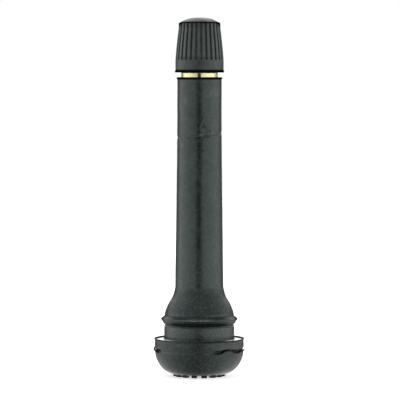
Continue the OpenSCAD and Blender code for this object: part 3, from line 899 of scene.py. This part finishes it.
class VALVE_OT_brass_stem(bpy.types.Operator):
    """Turns the brass stem and cuts its cap thread"""
    bl_idname = "valve.brass_stem"
    bl_label = "Brass Stem"

    def execute(self, context):
        metal = context.scene.valve_metal
        tip_z = STEM_HIGH.z
        tip_r = metal.thread_r - TIP_CHAMFER
        thread_end = (metal.thread_r, tip_z - TIP_CHAMFER)
        cone_top_z = GASKET_HIGH.z + SEAT_GAP
        seat_r = CHAMBER_R + GASKET_FLARE
        outside = [(PASSAGE_R, STEM_LOW.z)] + insert_profile(metal)[::-1]
        outside += run((metal.collar_r, RUBBER_HIGH.z), (metal.collar_r, CAP_LOW.z), COLLAR_STEP)
        outside += run((metal.thread_r, CAP_LOW.z + THREAD_STEP), thread_end, THREAD_STEP)
        outside += run(thread_end, (tip_r, tip_z), THREAD_STEP)
        inside = [(CORE_BORE_R + MOUTH_CHAMFER, tip_z), (CORE_BORE_R, tip_z - MOUTH_CHAMFER),
                  (CORE_BORE_R, cone_top_z), (seat_r, cone_top_z), (seat_r, GASKET_HIGH.z),
                  (CHAMBER_R, GASKET_LOW.z), (CHAMBER_R, PIN_LOW.z - CHAMBER_ROOM),
                  (PASSAGE_R, PIN_LOW.z - CHAMBER_ROOM)]
        mesh = turned(outside + inside, steps=BRASS_STEPS, closed=True)
        start_z = CAP_LOW.z + metal.thread_pitch
        dark_reflection_mark = mark(mesh, "dark_reflection")
        for vert in mesh.verts:
            radius, angle = polar(vert.co)
            aside = abs(aside_of(angle, DARK_REFLECTION_ANGLE))
            dark_reflection = DARK_REFLECTION_SHARE * smooth_step(aside, DARK_REFLECTION_HALF, DARK_REFLECTION_MIDDLE)
            vert[dark_reflection_mark] = dark_reflection * between(vert.co.z, RUBBER_HIGH.z, CAP_LOW.z, MM)
            if vert.co.z > CAP_LOW.z + THREAD_STEP / 2 and radius > tip_r - MERGE:
                cut = metal.thread_depth * smooth_step(vert.co.z, CAP_LOW.z, start_z)
                floor_r = metal.thread_r - cut * screw_cut(angle, vert.co.z, metal.thread_pitch)
                set_polar(vert, min(radius, floor_r), angle, vert.co.z)
        mesh.normal_update()
        piece("threaded_stem", mesh, turned_brass("turned_brass", metal.brass), "valve_stem",
              ["brass_stem"])
        return {"FINISHED"}


# The screw cap

CAP_DOME_H = 1 * MM
SHOULDER_R = 0.38 * MM
BAND_H = 2.5 * MM
SIDE_BOW = 0.06 * MM
TOP_LEN = 1.3 * MM
BEAD_H = 0.45 * MM
FLUTE_END = 0.4 * MM
STEPS_PER_FLUTE = 12
FLUTE_TURN = math.radians(4.3)
# How dark the painted shade in a flute's valley is at the front, and how much darker at the sides
VALLEY_SHADE, SIDE_SHADE = 0.15, 0.7
# The crown: steps and fullness of its section, its painted shade and the blotches in that
CROWN_STEPS, CROWN_POWER = 14, 2.6
CROWN_DARK, CROWN_BLOTCH = 0.42, 0.6
BAND_STEP, CAP_TOP_STEP = 0.3 * MM, 0.15 * MM
BOW_STEPS = 40
POCKET_GAP = 0.05 * MM


def cap_profile(cap, metal):
    """The cap's section: mouth, bead, band, bowed taper, straight top and crown, then pocket and bore."""
    band_z = CAP_LOW.z + BAND_H
    shoulder_z = CAP_HIGH.z - CAP_DOME_H
    bore_r = metal.thread_r + cap.thread_gap
    pocket_r = WASHER_HIGH.x + POCKET_GAP
    tip_z = STEM_HIGH.z
    top_z = shoulder_z - TOP_LEN
    low, high = Vector((cap.band_r, band_z)), Vector((cap.top_r, top_z))
    half = (high - low).length / 2
    bow_r = (half ** 2 + SIDE_BOW ** 2) / (2 * SIDE_BOW)
    outward = Vector((high.y - low.y, low.x - high.x)) / (2 * half)
    bow = (low + high) / 2 - (bow_r - SIDE_BOW) * outward
    edge_r = cap.top_r - SHOULDER_R
    bead_round = BEAD_H / 4
    mouth = 0.8 * BEAD_H
    points = [(bore_r + mouth, CAP_LOW.z)]
    points += arc((cap.bead_r - bead_round, CAP_LOW.z + bead_round), bead_round, -90, 0, 3)
    points += arc((cap.bead_r - bead_round, CAP_LOW.z + BEAD_H - bead_round), bead_round, 0, 90, 3)
    points += run((cap.band_r, CAP_LOW.z + BEAD_H), (cap.band_r, band_z), BAND_STEP)
    points += arc(bow, bow_r, angle_of(low, bow), angle_of(high, bow), BOW_STEPS)
    points += run(high, (cap.top_r, shoulder_z - SHOULDER_R), CAP_TOP_STEP)
    points += arc((edge_r, shoulder_z - SHOULDER_R), SHOULDER_R, 0, 90, 6)
    for step in range(1, CROWN_STEPS + 1):
        share = 1 - step / CROWN_STEPS
        points.append((edge_r * share, CAP_HIGH.z - CAP_DOME_H * share ** CROWN_POWER))
    points += [(0, WASHER_HIGH.z), (pocket_r, WASHER_HIGH.z), (pocket_r, tip_z),
               (bore_r, tip_z - TIP_CHAMFER)]
    return points + run((bore_r, tip_z - TIP_CHAMFER), (bore_r, CAP_LOW.z + mouth), THREAD_STEP)


def cut_cap(mesh, cap, metal):
    """Cuts the grip flutes and the inner thread, and marks the ridges and the painted shade in the flutes, on
    the bead, the shoulder's edge and the crown.
    """
    cap_shade_mark = mark(mesh, "flute")
    ridge_mark = mark(mesh, "ridge")
    edge_z = CAP_HIGH.z - CAP_DOME_H
    end_z = CAP_LOW.z + BAND_H + FLUTE_END
    top_z = edge_z - TOP_LEN
    low_r = cap.band_r + cap.flute_r - cap.flute_depth
    lean = (cap.band_r - cap.top_r) / (top_z - end_z)
    bore_r = metal.thread_r + cap.thread_gap
    pitch = TURN / cap.flute_count
    for vert in mesh.verts:
        radius, angle = polar(vert.co)
        height = vert.co.z
        side = abs(math.sin(angle - FRONT))
        if radius > bore_r + MERGE and height > end_z - cap.flute_r:
            aside = radius * math.sin((angle - FRONT - FLUTE_TURN + pitch / 2) % pitch - pitch / 2)
            below = max(0, end_z - height)
            room = cap.flute_r ** 2 - aside ** 2 - below ** 2
            floor_r = low_r - lean * (height - end_z) - math.sqrt(max(0, room))
            if room > 0 and floor_r < radius:
                # Painted shade in the valley, darker at the sides and at the flute's end
                shade = VALLEY_SHADE + SIDE_SHADE * side
                shade += (1 - shade) * smooth_step(height, end_z + 2 * cap.flute_r, end_z)
                vert[cap_shade_mark] = shade * min(1, (radius - floor_r) / cap.flute_depth)
                set_polar(vert, floor_r, angle, height)
            elif height < top_z:
                vert[ridge_mark] = smooth_step(height, end_z, end_z + MM)
            # Painted shade on the shoulder's edge, wider towards the sides
            corner = SHOULDER_R * (0.5 + 1.2 * smooth_step(side, 0.8, 0.97))
            vert[cap_shade_mark] = max(vert[cap_shade_mark], between(height, edge_z - corner, edge_z, SHOULDER_R / 3))
        elif radius > bore_r + MERGE and height < CAP_LOW.z + BEAD_H + MERGE:
            # Painted shade on the bead
            vert[cap_shade_mark] = 1
        elif abs(radius - bore_r) < MERGE and height < STEM_HIGH.z - TIP_CHAMFER:
            cut = metal.thread_depth * between(height, CAP_LOW.z + 2 * BEAD_H, STEM_HIGH.z - 2 * MM, BEAD_H)
            set_polar(vert, bore_r - cut * screw_cut(angle, height, metal.thread_pitch), angle, height)
        if height > edge_z + MERGE:
            # Painted shade on the crown, in blotches
            darker = CROWN_DARK * (1 + CROWN_BLOTCH * noise.noise(0.5 * vert.co / MM))
            vert[cap_shade_mark] = max(vert[cap_shade_mark], darker)
    mesh.normal_update()


class VALVE_OT_cap(bpy.types.Operator):
    """Moulds the fluted screw cap and the washer in its crown"""
    bl_idname = "valve.cap"
    bl_label = "Screw Cap"

    def execute(self, context):
        cap, metal = context.scene.valve_cap, context.scene.valve_metal
        mesh = turned(cap_profile(cap, metal), steps=cap.flute_count * STEPS_PER_FLUTE, closed=True)
        cut_cap(mesh, cap, metal)
        piece("fluted_cap", mesh, moulded_plastic(cap), "cap", ["cap_shell"])
        washer = ring_mesh(WASHER_LOW, WASHER_HIGH, WASHER_HOLE_R, 2 * EDGE)
        piece("crown_washer", washer, seal_rubber(), "cap_seal", ["cap_washer"])
        return {"FINISHED"}


# The core: plug, barrel, gasket, pin, cup and seat, and the spring round the pin

PIN_R = 0.55 * MM
PIN_HEAD_R = PIN_HIGH.x
PIN_HEAD_H = 0.9 * MM
LUG_W = 0.88 * MM
LUG_H = 0.55 * MM
BRIDGE_W = 2.6 * MM
FLAT_H = 3 * MM
BRIDGE_H = 2 * MM
POCKET_R = 1.95 * MM
CRIMP_H = 0.5 * MM
CRIMP_R = 1.57 * MM
CORE_GAP = 0.05 * MM
SWIVEL_H = 0.85 * MM
NECK_R = 1.52 * MM
GASKET_R = 2.05 * MM
BARREL_R = 1.75 * MM
BARREL_BORE_R = 1.35 * MM
GUIDE_R = 0.9 * MM
GUIDE_LEN = 1.8 * MM
CUP_FLOOR = 0.4 * MM
CUP_WALL = 0.15 * MM
WASHER_HOLE_R = 1.3 * MM
EDGE = 0.05 * MM
# Steps round the axis, round the spring's axis in one turn, and round its wire
CORE_STEPS, PLUG_STEPS, PIN_STEPS = 64, 72, 48
COIL_STEPS, WIRE_STEPS = 28, 12


def chamfered(corners, size, keep=()):
    """A closed profile whose corners are cut off by a size, apart from those to keep sharp."""
    points = []
    for i, corner in enumerate(corners):
        here = Vector(corner)
        before = (Vector(corners[i - 1]) - here).normalized()
        after = (Vector(corners[(i + 1) % len(corners)]) - here).normalized()
        points += [here] if i in keep else [here + size * before, here + size * after]
    return [tuple(point) for point in points]


def core_ring(corners, edge=EDGE, keep=()):
    """A ring of the core, turned from a closed profile with softened corners."""
    return turned(chamfered(corners, edge, keep), steps=CORE_STEPS, closed=True)


def cut_flats(mesh):
    """Saws the plug's two flats off a mesh, above the height where the bridge starts."""
    flat_z = PLUG_HIGH.z - FLAT_H
    tools = bmesh.new()
    for side in (-1, 1):
        box = bmesh.ops.create_cube(tools, size=1)["verts"]
        bmesh.ops.scale(tools, vec=(3 * PLUG_HIGH.x, PLUG_HIGH.x, 2 * FLAT_H), verts=box)
        bmesh.ops.translate(tools, vec=(0, side * (BRIDGE_W + PLUG_HIGH.x) / 2, flat_z + FLAT_H), verts=box)
    saw = placed("flats", tools)
    blank = placed("blank", mesh.copy())
    cut = blank.modifiers.new("flats", "BOOLEAN")
    cut.object = saw
    cut.operation = "DIFFERENCE"
    cut.solver = "EXACT"
    sawn = blank.evaluated_get(bpy.context.evaluated_depsgraph_get()).to_mesh()
    mesh.clear()
    mesh.from_mesh(sawn)
    for made in (saw, blank):
        used = made.data
        bpy.data.objects.remove(made)
        bpy.data.meshes.remove(used)


def plug_mesh(metal):
    """The core's threaded plug, with a swivel pocket below and two flats above."""
    low, high, radius = PLUG_LOW.z, PLUG_HIGH.z, PLUG_HIGH.x
    hole_r = PIN_R + CORE_GAP
    pocket_z = high - BRIDGE_H
    points = [(CRIMP_R, low), (radius - metal.core_depth, low)]
    points += run((radius, low + metal.core_depth), (radius, high - metal.core_depth), THREAD_STEP)
    points += [(radius - metal.core_depth, high), (hole_r + EDGE, high), (hole_r, high - EDGE),
               (hole_r, pocket_z), (POCKET_R, pocket_z), (POCKET_R, low + CRIMP_H), (CRIMP_R, low + CRIMP_H)]
    mesh = turned(points, steps=PLUG_STEPS, closed=True)
    for vert in mesh.verts:
        across, angle = polar(vert.co)
        if across > radius - MERGE:
            cut = metal.core_depth * between(vert.co.z, low + MM / 2, high - MM / 2, MM / 2)
            set_polar(vert, radius - cut * screw_cut(angle, vert.co.z, metal.core_pitch), angle, vert.co.z)
    cut_flats(mesh)
    return mesh


def barrel_mesh():
    """The core's barrel: a swivel head, a neck for the gasket, a flange, and the tube round the spring."""
    low, high = BARREL_LOW.z, BARREL_HIGH.z
    flange_z = GASKET_LOW.z - (GASKET_HIGH.z - GASKET_LOW.z) / 4
    swivel_r = POCKET_R - CORE_GAP
    ledge_z = low + GUIDE_LEN
    corners = [(GUIDE_R, low), (BARREL_R, low), (BARREL_R, flange_z), (BARREL_HIGH.x, flange_z),
               (BARREL_HIGH.x, GASKET_LOW.z), (NECK_R, GASKET_LOW.z), (NECK_R, high - SWIVEL_H),
               (swivel_r, high - SWIVEL_H), (swivel_r, high), (BARREL_BORE_R, high), (BARREL_BORE_R, ledge_z),
               (GUIDE_R, ledge_z)]
    return core_ring(corners, keep=(2, 5, 6, 10))


def gasket_mesh():
    """The tapered gasket on the barrel's neck."""
    low, high = GASKET_LOW.z, GASKET_HIGH.z
    corners = [(NECK_R, low), (GASKET_R, low), (GASKET_HIGH.x, high), (NECK_R, high)]
    return core_ring(corners, 2 * EDGE, keep=(0, 3))


def pin_mesh():
    """The valve pin: a domed head, two pressed lugs over the spring, and a riveted lower end."""
    low, high = PIN_LOW.z, PIN_HIGH.z
    head_z = high - PIN_HEAD_H
    rivet_r = PIN_R + CUP_FLOOR
    lug_r = BARREL_BORE_R - CORE_GAP
    dome = (0, high - 2 * PIN_HEAD_R)
    points = [(0, low), (rivet_r - 2 * EDGE, low), (rivet_r, low + 2 * EDGE), (rivet_r, CUP_LOW.z),
              (PIN_R, CUP_LOW.z), (PIN_R, head_z), (PIN_HEAD_R - EDGE, head_z), (PIN_HEAD_R, head_z + EDGE)]
    mesh = turned(points + arc(dome, 2 * PIN_HEAD_R, 60, 90, 8), steps=PIN_STEPS)
    ears = bmesh.ops.create_cube(mesh, size=1)["verts"]
    bmesh.ops.scale(mesh, vec=(2 * lug_r * math.cos(LUG_W / lug_r / 2), LUG_W, LUG_H), verts=ears)
    bmesh.ops.translate(mesh, vec=(0, 0, SPRING_HIGH.z + SEAT_GAP + LUG_H / 2), verts=ears)
    ends = [edge for edge in mesh.edges if all(vert in ears for vert in edge.verts)]
    soften(mesh, ends, 2 * EDGE)
    return mesh


def cup_mesh():
    """The cup on the pin's lower end that carries the seat."""
    low, high = CUP_LOW.z, CUP_HIGH.z
    inner_r = CUP_HIGH.x - CUP_WALL
    floor_z = low + CUP_FLOOR
    corners = [(PIN_R, low), (CUP_HIGH.x, low), (CUP_HIGH.x, high), (inner_r, high), (inner_r, floor_z),
               (PIN_R, floor_z)]
    return core_ring(corners, keep=(0, 4, 5))


def ring_mesh(low, high, hole_r, edge):
    """A flat ring that fills a box, with a hole and softened edges."""
    corners = [(hole_r, low.z), (high.x, low.z), (high.x, high.z), (hole_r, high.z)]
    return core_ring(corners, edge)


def spring_mesh(metal):
    """The coil spring: one closed turn, the open turns and one closed turn, drawn by a wire ring."""
    wire_r = metal.wire_d / 2
    coil_r = (GUIDE_R + BARREL_BORE_R) / 2
    open_turns = metal.spring_turns - 2
    open_rise = SPRING_HIGH.z - SPRING_LOW.z - 3 * metal.wire_d
    mesh = bmesh.new()
    ring = bmesh.ops.create_circle(mesh, segments=WIRE_STEPS, radius=wire_r)["verts"]
    upright = Vector((0, 1, 0)).to_track_quat("Z", "Y").to_matrix()
    bmesh.ops.rotate(mesh, cent=(0, 0, 0), matrix=upright, verts=ring)
    bmesh.ops.translate(mesh, vec=(coil_r, 0, SPRING_LOW.z + wire_r), verts=ring)
    first = list(mesh.edges)
    last = ring + first
    for turns, rise in ((1, metal.wire_d), (open_turns, open_rise), (1, metal.wire_d)):
        steps = turns * COIL_STEPS
        last = bmesh.ops.spin(mesh, geom=last, cent=(0, 0, 0), axis=(0, 0, 1), dvec=(0, 0, rise / steps),
                              angle=TURN * turns, steps=steps)["geom_last"]
    bmesh.ops.contextual_create(mesh, geom=first)
    bmesh.ops.contextual_create(mesh, geom=[item for item in last if isinstance(item, bmesh.types.BMEdge)])
    tidy(mesh)
    return mesh


class VALVE_OT_core(bpy.types.Operator):
    """Builds the core: plug, barrel, gasket, sprung pin, cup and seat"""
    bl_idname = "valve.core"
    bl_label = "Valve Core"

    def execute(self, context):
        metal = context.scene.valve_metal
        brass = turned_brass("core_brass", metal.core_brass)
        seal = seal_rubber()
        piece("threaded_plug", plug_mesh(metal), brass, "valve_stem", ["core_plug"])
        piece("spring_barrel", barrel_mesh(), brass, "valve_stem", ["core_barrel"])
        piece("cone_gasket", gasket_mesh(), seal, "valve_stem", ["barrel_gasket"])
        piece("valve_pin", pin_mesh(), brass, "plunger", ["core_pin"])
        piece("seat_cup", cup_mesh(), brass, "plunger", ["plunger_cup"])
        piece("seat_washer", ring_mesh(SEAT_LOW, SEAT_HIGH, PIN_R, EDGE), seal, "plunger",
              ["plunger_washer"])
        spring = piece("coil_spring", spring_mesh(metal), drawn_steel(metal), "valve_stem",
                       ["core_spring"])
        spring_len = SPRING_HIGH.z - SPRING_LOW.z
        1 - PIN_TRAVEL / spring_len
        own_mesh(spring)
        return {"FINISHED"}


# The stage: floor, world, soft lights and camera

EYE_DISTANCE = 0.6
EYE_HEIGHT = 0.065
LOOK_HEIGHT = 37.67 * MM
LOOK_ASIDE = 0.13 * MM
EYE_ROLL = math.radians(0.06)
FRAME_WIDTH = 85.43 * MM
SENSOR_WIDTH = 36.0
CLIP_START = 0.01
FLOOR_SIZE = 12.0
AIM = (0, 0, 40 * MM)
# The soft boxes beside the object, which reflections don't see: azimuths, distance, height, size and power
SIDE_AZIMUTHS = {"left_soft_box": -94, "right_soft_box": 84}
SIDE_R, SIDE_Z, SIDE_SIZE, SIDE_POWER = 0.3, 0.2, (0.2, 0.4), 0.48
# The other soft boxes: place, size and power
TOP_BOX = ((0, 0.05, 0.5), (0.3, 0.3), 0.5)
BACK_BOX = ((0, 0.6, 0.5), (1.0, 0.4), 2.4)


def seen_ray(graph):
    """1 for rays that show the background: the camera's, and those off gloss and through glass."""
    path = graph.add("ShaderNodeLightPath", output="Is Camera Ray")
    node = path.socket.node
    return path.math("MAXIMUM", Signal(graph, node.outputs["Is Glossy Ray"])).math(
        "MAXIMUM", Signal(graph, node.outputs["Is Transmission Ray"]))


def white_floor():
    """A white floor that the camera sees evenly bright, with the object's shadow left on it."""
    graph = new_material("white_floor")
    speck = graph.noise(0.02, 2.0, 0.5)
    graph.set("Base Color", graph.mix(speck, grey(0.78), grey(0.82)))
    graph.set("Roughness", 0.9)
    graph.set("Specular IOR Level", 0.1)
    graph.set("Emission Color", graph.mix(seen_ray(graph), grey(0), grey(0.62)))
    graph.set("Emission Strength", 1.0)
    return graph.owner


def soft_box(name, place, size, power, aim=AIM, mirrored=True):
    """A rectangular soft light that faces a point, and that reflections see if it is mirrored."""
    data = bpy.data.lights.new(name, "AREA")
    data.shape = "RECTANGLE"
    data.size, data.size_y = size
    data.energy = power
    lamp = bpy.data.objects.new(name, data)
    lamp.location = place
    lamp.rotation_euler = (Vector(aim) - Vector(place)).to_track_quat("-Z", "Y").to_euler()
    lamp.visible_glossy = mirrored
    bpy.context.scene.collection.objects.link(lamp)


# What shines back at each azimuth from the front, along the horizon, from the floor nearby and from above,
# as a share of the soft light beside the object
HORIZON_SHINE = ((-180, 1), (-169, 1), (-162, 0.06), (-145, 0.08), (-128, 0.35), (-112, 1), (-87, 1),
                 (-50, 0.75), (-18, 0.54), (-8, 0), (6, 0), (13, 0.66), (46, 0.85), (83, 1), (104, 0.85),
                 (120, 0.45), (140, 0.14), (162, 0.08), (169, 1), (180, 1))
FLOOR_SHINE = ((-180, 0.2), (-150, 0.22), (-125, 0.45), (-100, 0.62), (-72, 0.66), (-39, 0.42),
               (-13, 0.24), (0, 0.25), (24, 0.42), (53, 0.74), (70, 0.68), (94, 0.64), (125, 0.45),
               (150, 0.22), (180, 0.2))
HIGH_SHINE = ((-180, 0.7), (-150, 0.6), (-127, 0.7), (-90, 0.72), (-47, 0.42), (-25, 0.3), (45, 0.3),
              (85, 0.44), (126, 0.6), (150, 0.6), (180, 0.7))
SOFT_STRENGTH = 1.3
# The sheet that carries them: its hole, its nearby floor and its wall, the wall's heights, and its steps
NEAR_R, MID_R, FAR_R = 0.006, 0.12, 1.2
WALL_LOW_Z, WALL_HIGH_Z, WALL_TOP_Z = 0.2, 0.35, 0.9
SHEET_STEPS = 180


def level(table, azimuth):
    """A table's value at an azimuth, drawn straight between its pairs."""
    pairs = zip(table, table[1:])
    (start, first), (end, second) = next(pair for pair in pairs if pair[0][0] <= azimuth <= pair[1][0])
    return first + (second - first) * (azimuth - start) / (end - start)


def shine_at(place):
    """Brightness of the surround at a place."""
    distance, angle = polar(place)
    azimuth = math.degrees(turn_apart(angle, FRONT))
    near = smooth_step(distance, MID_R, MID_R / 3)
    high = smooth_step(place.z, WALL_LOW_Z, WALL_HIGH_Z)
    horizon = (1 - near - high) * level(HORIZON_SHINE, azimuth)
    return horizon + near * level(FLOOR_SHINE, azimuth) + high * level(HIGH_SHINE, azimuth)


def surround():
    """A round sheet, a floor with a wall, that only reflections see."""
    low_z = MM / 5
    section = [(radius, low_z) for radius in (NEAR_R, MID_R / 3, 2 * MID_R / 3, MID_R, FAR_R)]
    section += [(FAR_R, height) for height in (WALL_LOW_Z, WALL_HIGH_Z, WALL_TOP_Z)]
    mesh = turned(section + [(FAR_R / 4, 1.5 * WALL_TOP_Z)], steps=SHEET_STEPS)
    shine_mark = mark(mesh, "shine")
    for vert in mesh.verts:
        vert[shine_mark] = shine_at(vert.co)
    graph = new_material("surround")
    graph.set("Base Color", grey(0))
    graph.set("Specular IOR Level", 0.0)
    graph.set("Emission Color", graph.mix(graph.attribute("shine"), grey(0), grey(1)))
    graph.set("Emission Strength", SOFT_STRENGTH)
    sheet = placed("surround", mesh, graph.owner)
    sheet.visible_camera = False
    sheet.visible_diffuse = False
    sheet.visible_transmission = False
    sheet.visible_shadow = False


class VALVE_OT_stage(bpy.types.Operator):
    """Sets up the floor, the soft lights and the camera"""
    bl_idname = "valve.stage"
    bl_label = "Stage"

    def execute(self, context):
        scene = context.scene
        scene.view_settings.view_transform = "Standard"
        mesh = bmesh.new()
        bmesh.ops.create_grid(mesh, x_segments=2, y_segments=2, size=FLOOR_SIZE / 2)
        floor = placed("floor", mesh, white_floor())

        world = bpy.data.worlds.new("studio")
        scene.world = world
        graph = Graph(world, "Background")
        graph.set("Color", graph.mix(seen_ray(graph), grey(0.45), grey(1)))

        for name, azimuth in SIDE_AZIMUTHS.items():
            facing = math.radians(azimuth) + FRONT
            spot = (SIDE_R * math.cos(facing), SIDE_R * math.sin(facing), SIDE_Z)
            soft_box(name, spot, SIDE_SIZE, SIDE_POWER, aim=(0, 0, SIDE_Z), mirrored=False)
        soft_box("top_soft_box", *TOP_BOX)
        soft_box("back_soft_box", *BACK_BOX)
        surround()

        camera_data = bpy.data.cameras.new("camera")
        camera_data.sensor_width = SENSOR_WIDTH
        camera_data.lens = SENSOR_WIDTH * EYE_DISTANCE / FRAME_WIDTH
        camera_data.clip_start = CLIP_START
        camera = bpy.data.objects.new("camera", camera_data)
        camera.location = (LOOK_ASIDE, -EYE_DISTANCE, EYE_HEIGHT)
        look = Vector((LOOK_ASIDE, 0, LOOK_HEIGHT)) - camera.location
        camera.rotation_euler = look.to_track_quat("-Z", "Y").to_euler()
        camera.rotation_euler.rotate_axis("Z", EYE_ROLL)
        scene.collection.objects.link(camera)
        scene.camera = camera
        return {"FINISHED"}


class VALVE_PT_panel(bpy.types.Panel):
    """Lists the valve's pieces in the sidebar"""
    bl_label = "Tyre Valve"
    bl_idname = "VALVE_PT_panel"
    bl_space_type = "VIEW_3D"
    bl_region_type = "UI"
    bl_category = "Tyre Valve"

    def draw(self, context):
        for operator in OPERATORS:
            self.layout.operator(operator.bl_idname)
        for group_name, kind in GROUPS.items():
            box = self.layout.box()
            for name in kind.__annotations__:
                box.prop(getattr(context.scene, group_name), name)


OPERATORS = (VALVE_OT_stage, VALVE_OT_rubber_body, VALVE_OT_brass_stem, VALVE_OT_cap, VALVE_OT_core)
GROUPS = {"valve_rubber": RubberSizes, "valve_metal": MetalSizes, "valve_cap": CapSizes}
CLASSES = (*GROUPS.values(), *OPERATORS, VALVE_PT_panel)


def register():
    for cls in CLASSES:
        bpy.utils.register_class(cls)
    for name, kind in GROUPS.items():
        setattr(bpy.types.Scene, name, PointerProperty(type=kind))


def unregister():
    for name in GROUPS:
        delattr(bpy.types.Scene, name)
    for cls in reversed(CLASSES):
        bpy.utils.unregister_class(cls)


def main():
    register()
    bpy.ops.valve.stage()
    bpy.ops.valve.rubber_body()
    bpy.ops.valve.brass_stem()
    bpy.ops.valve.cap()
    bpy.ops.valve.core()


if __name__ == "__main__":
    main()
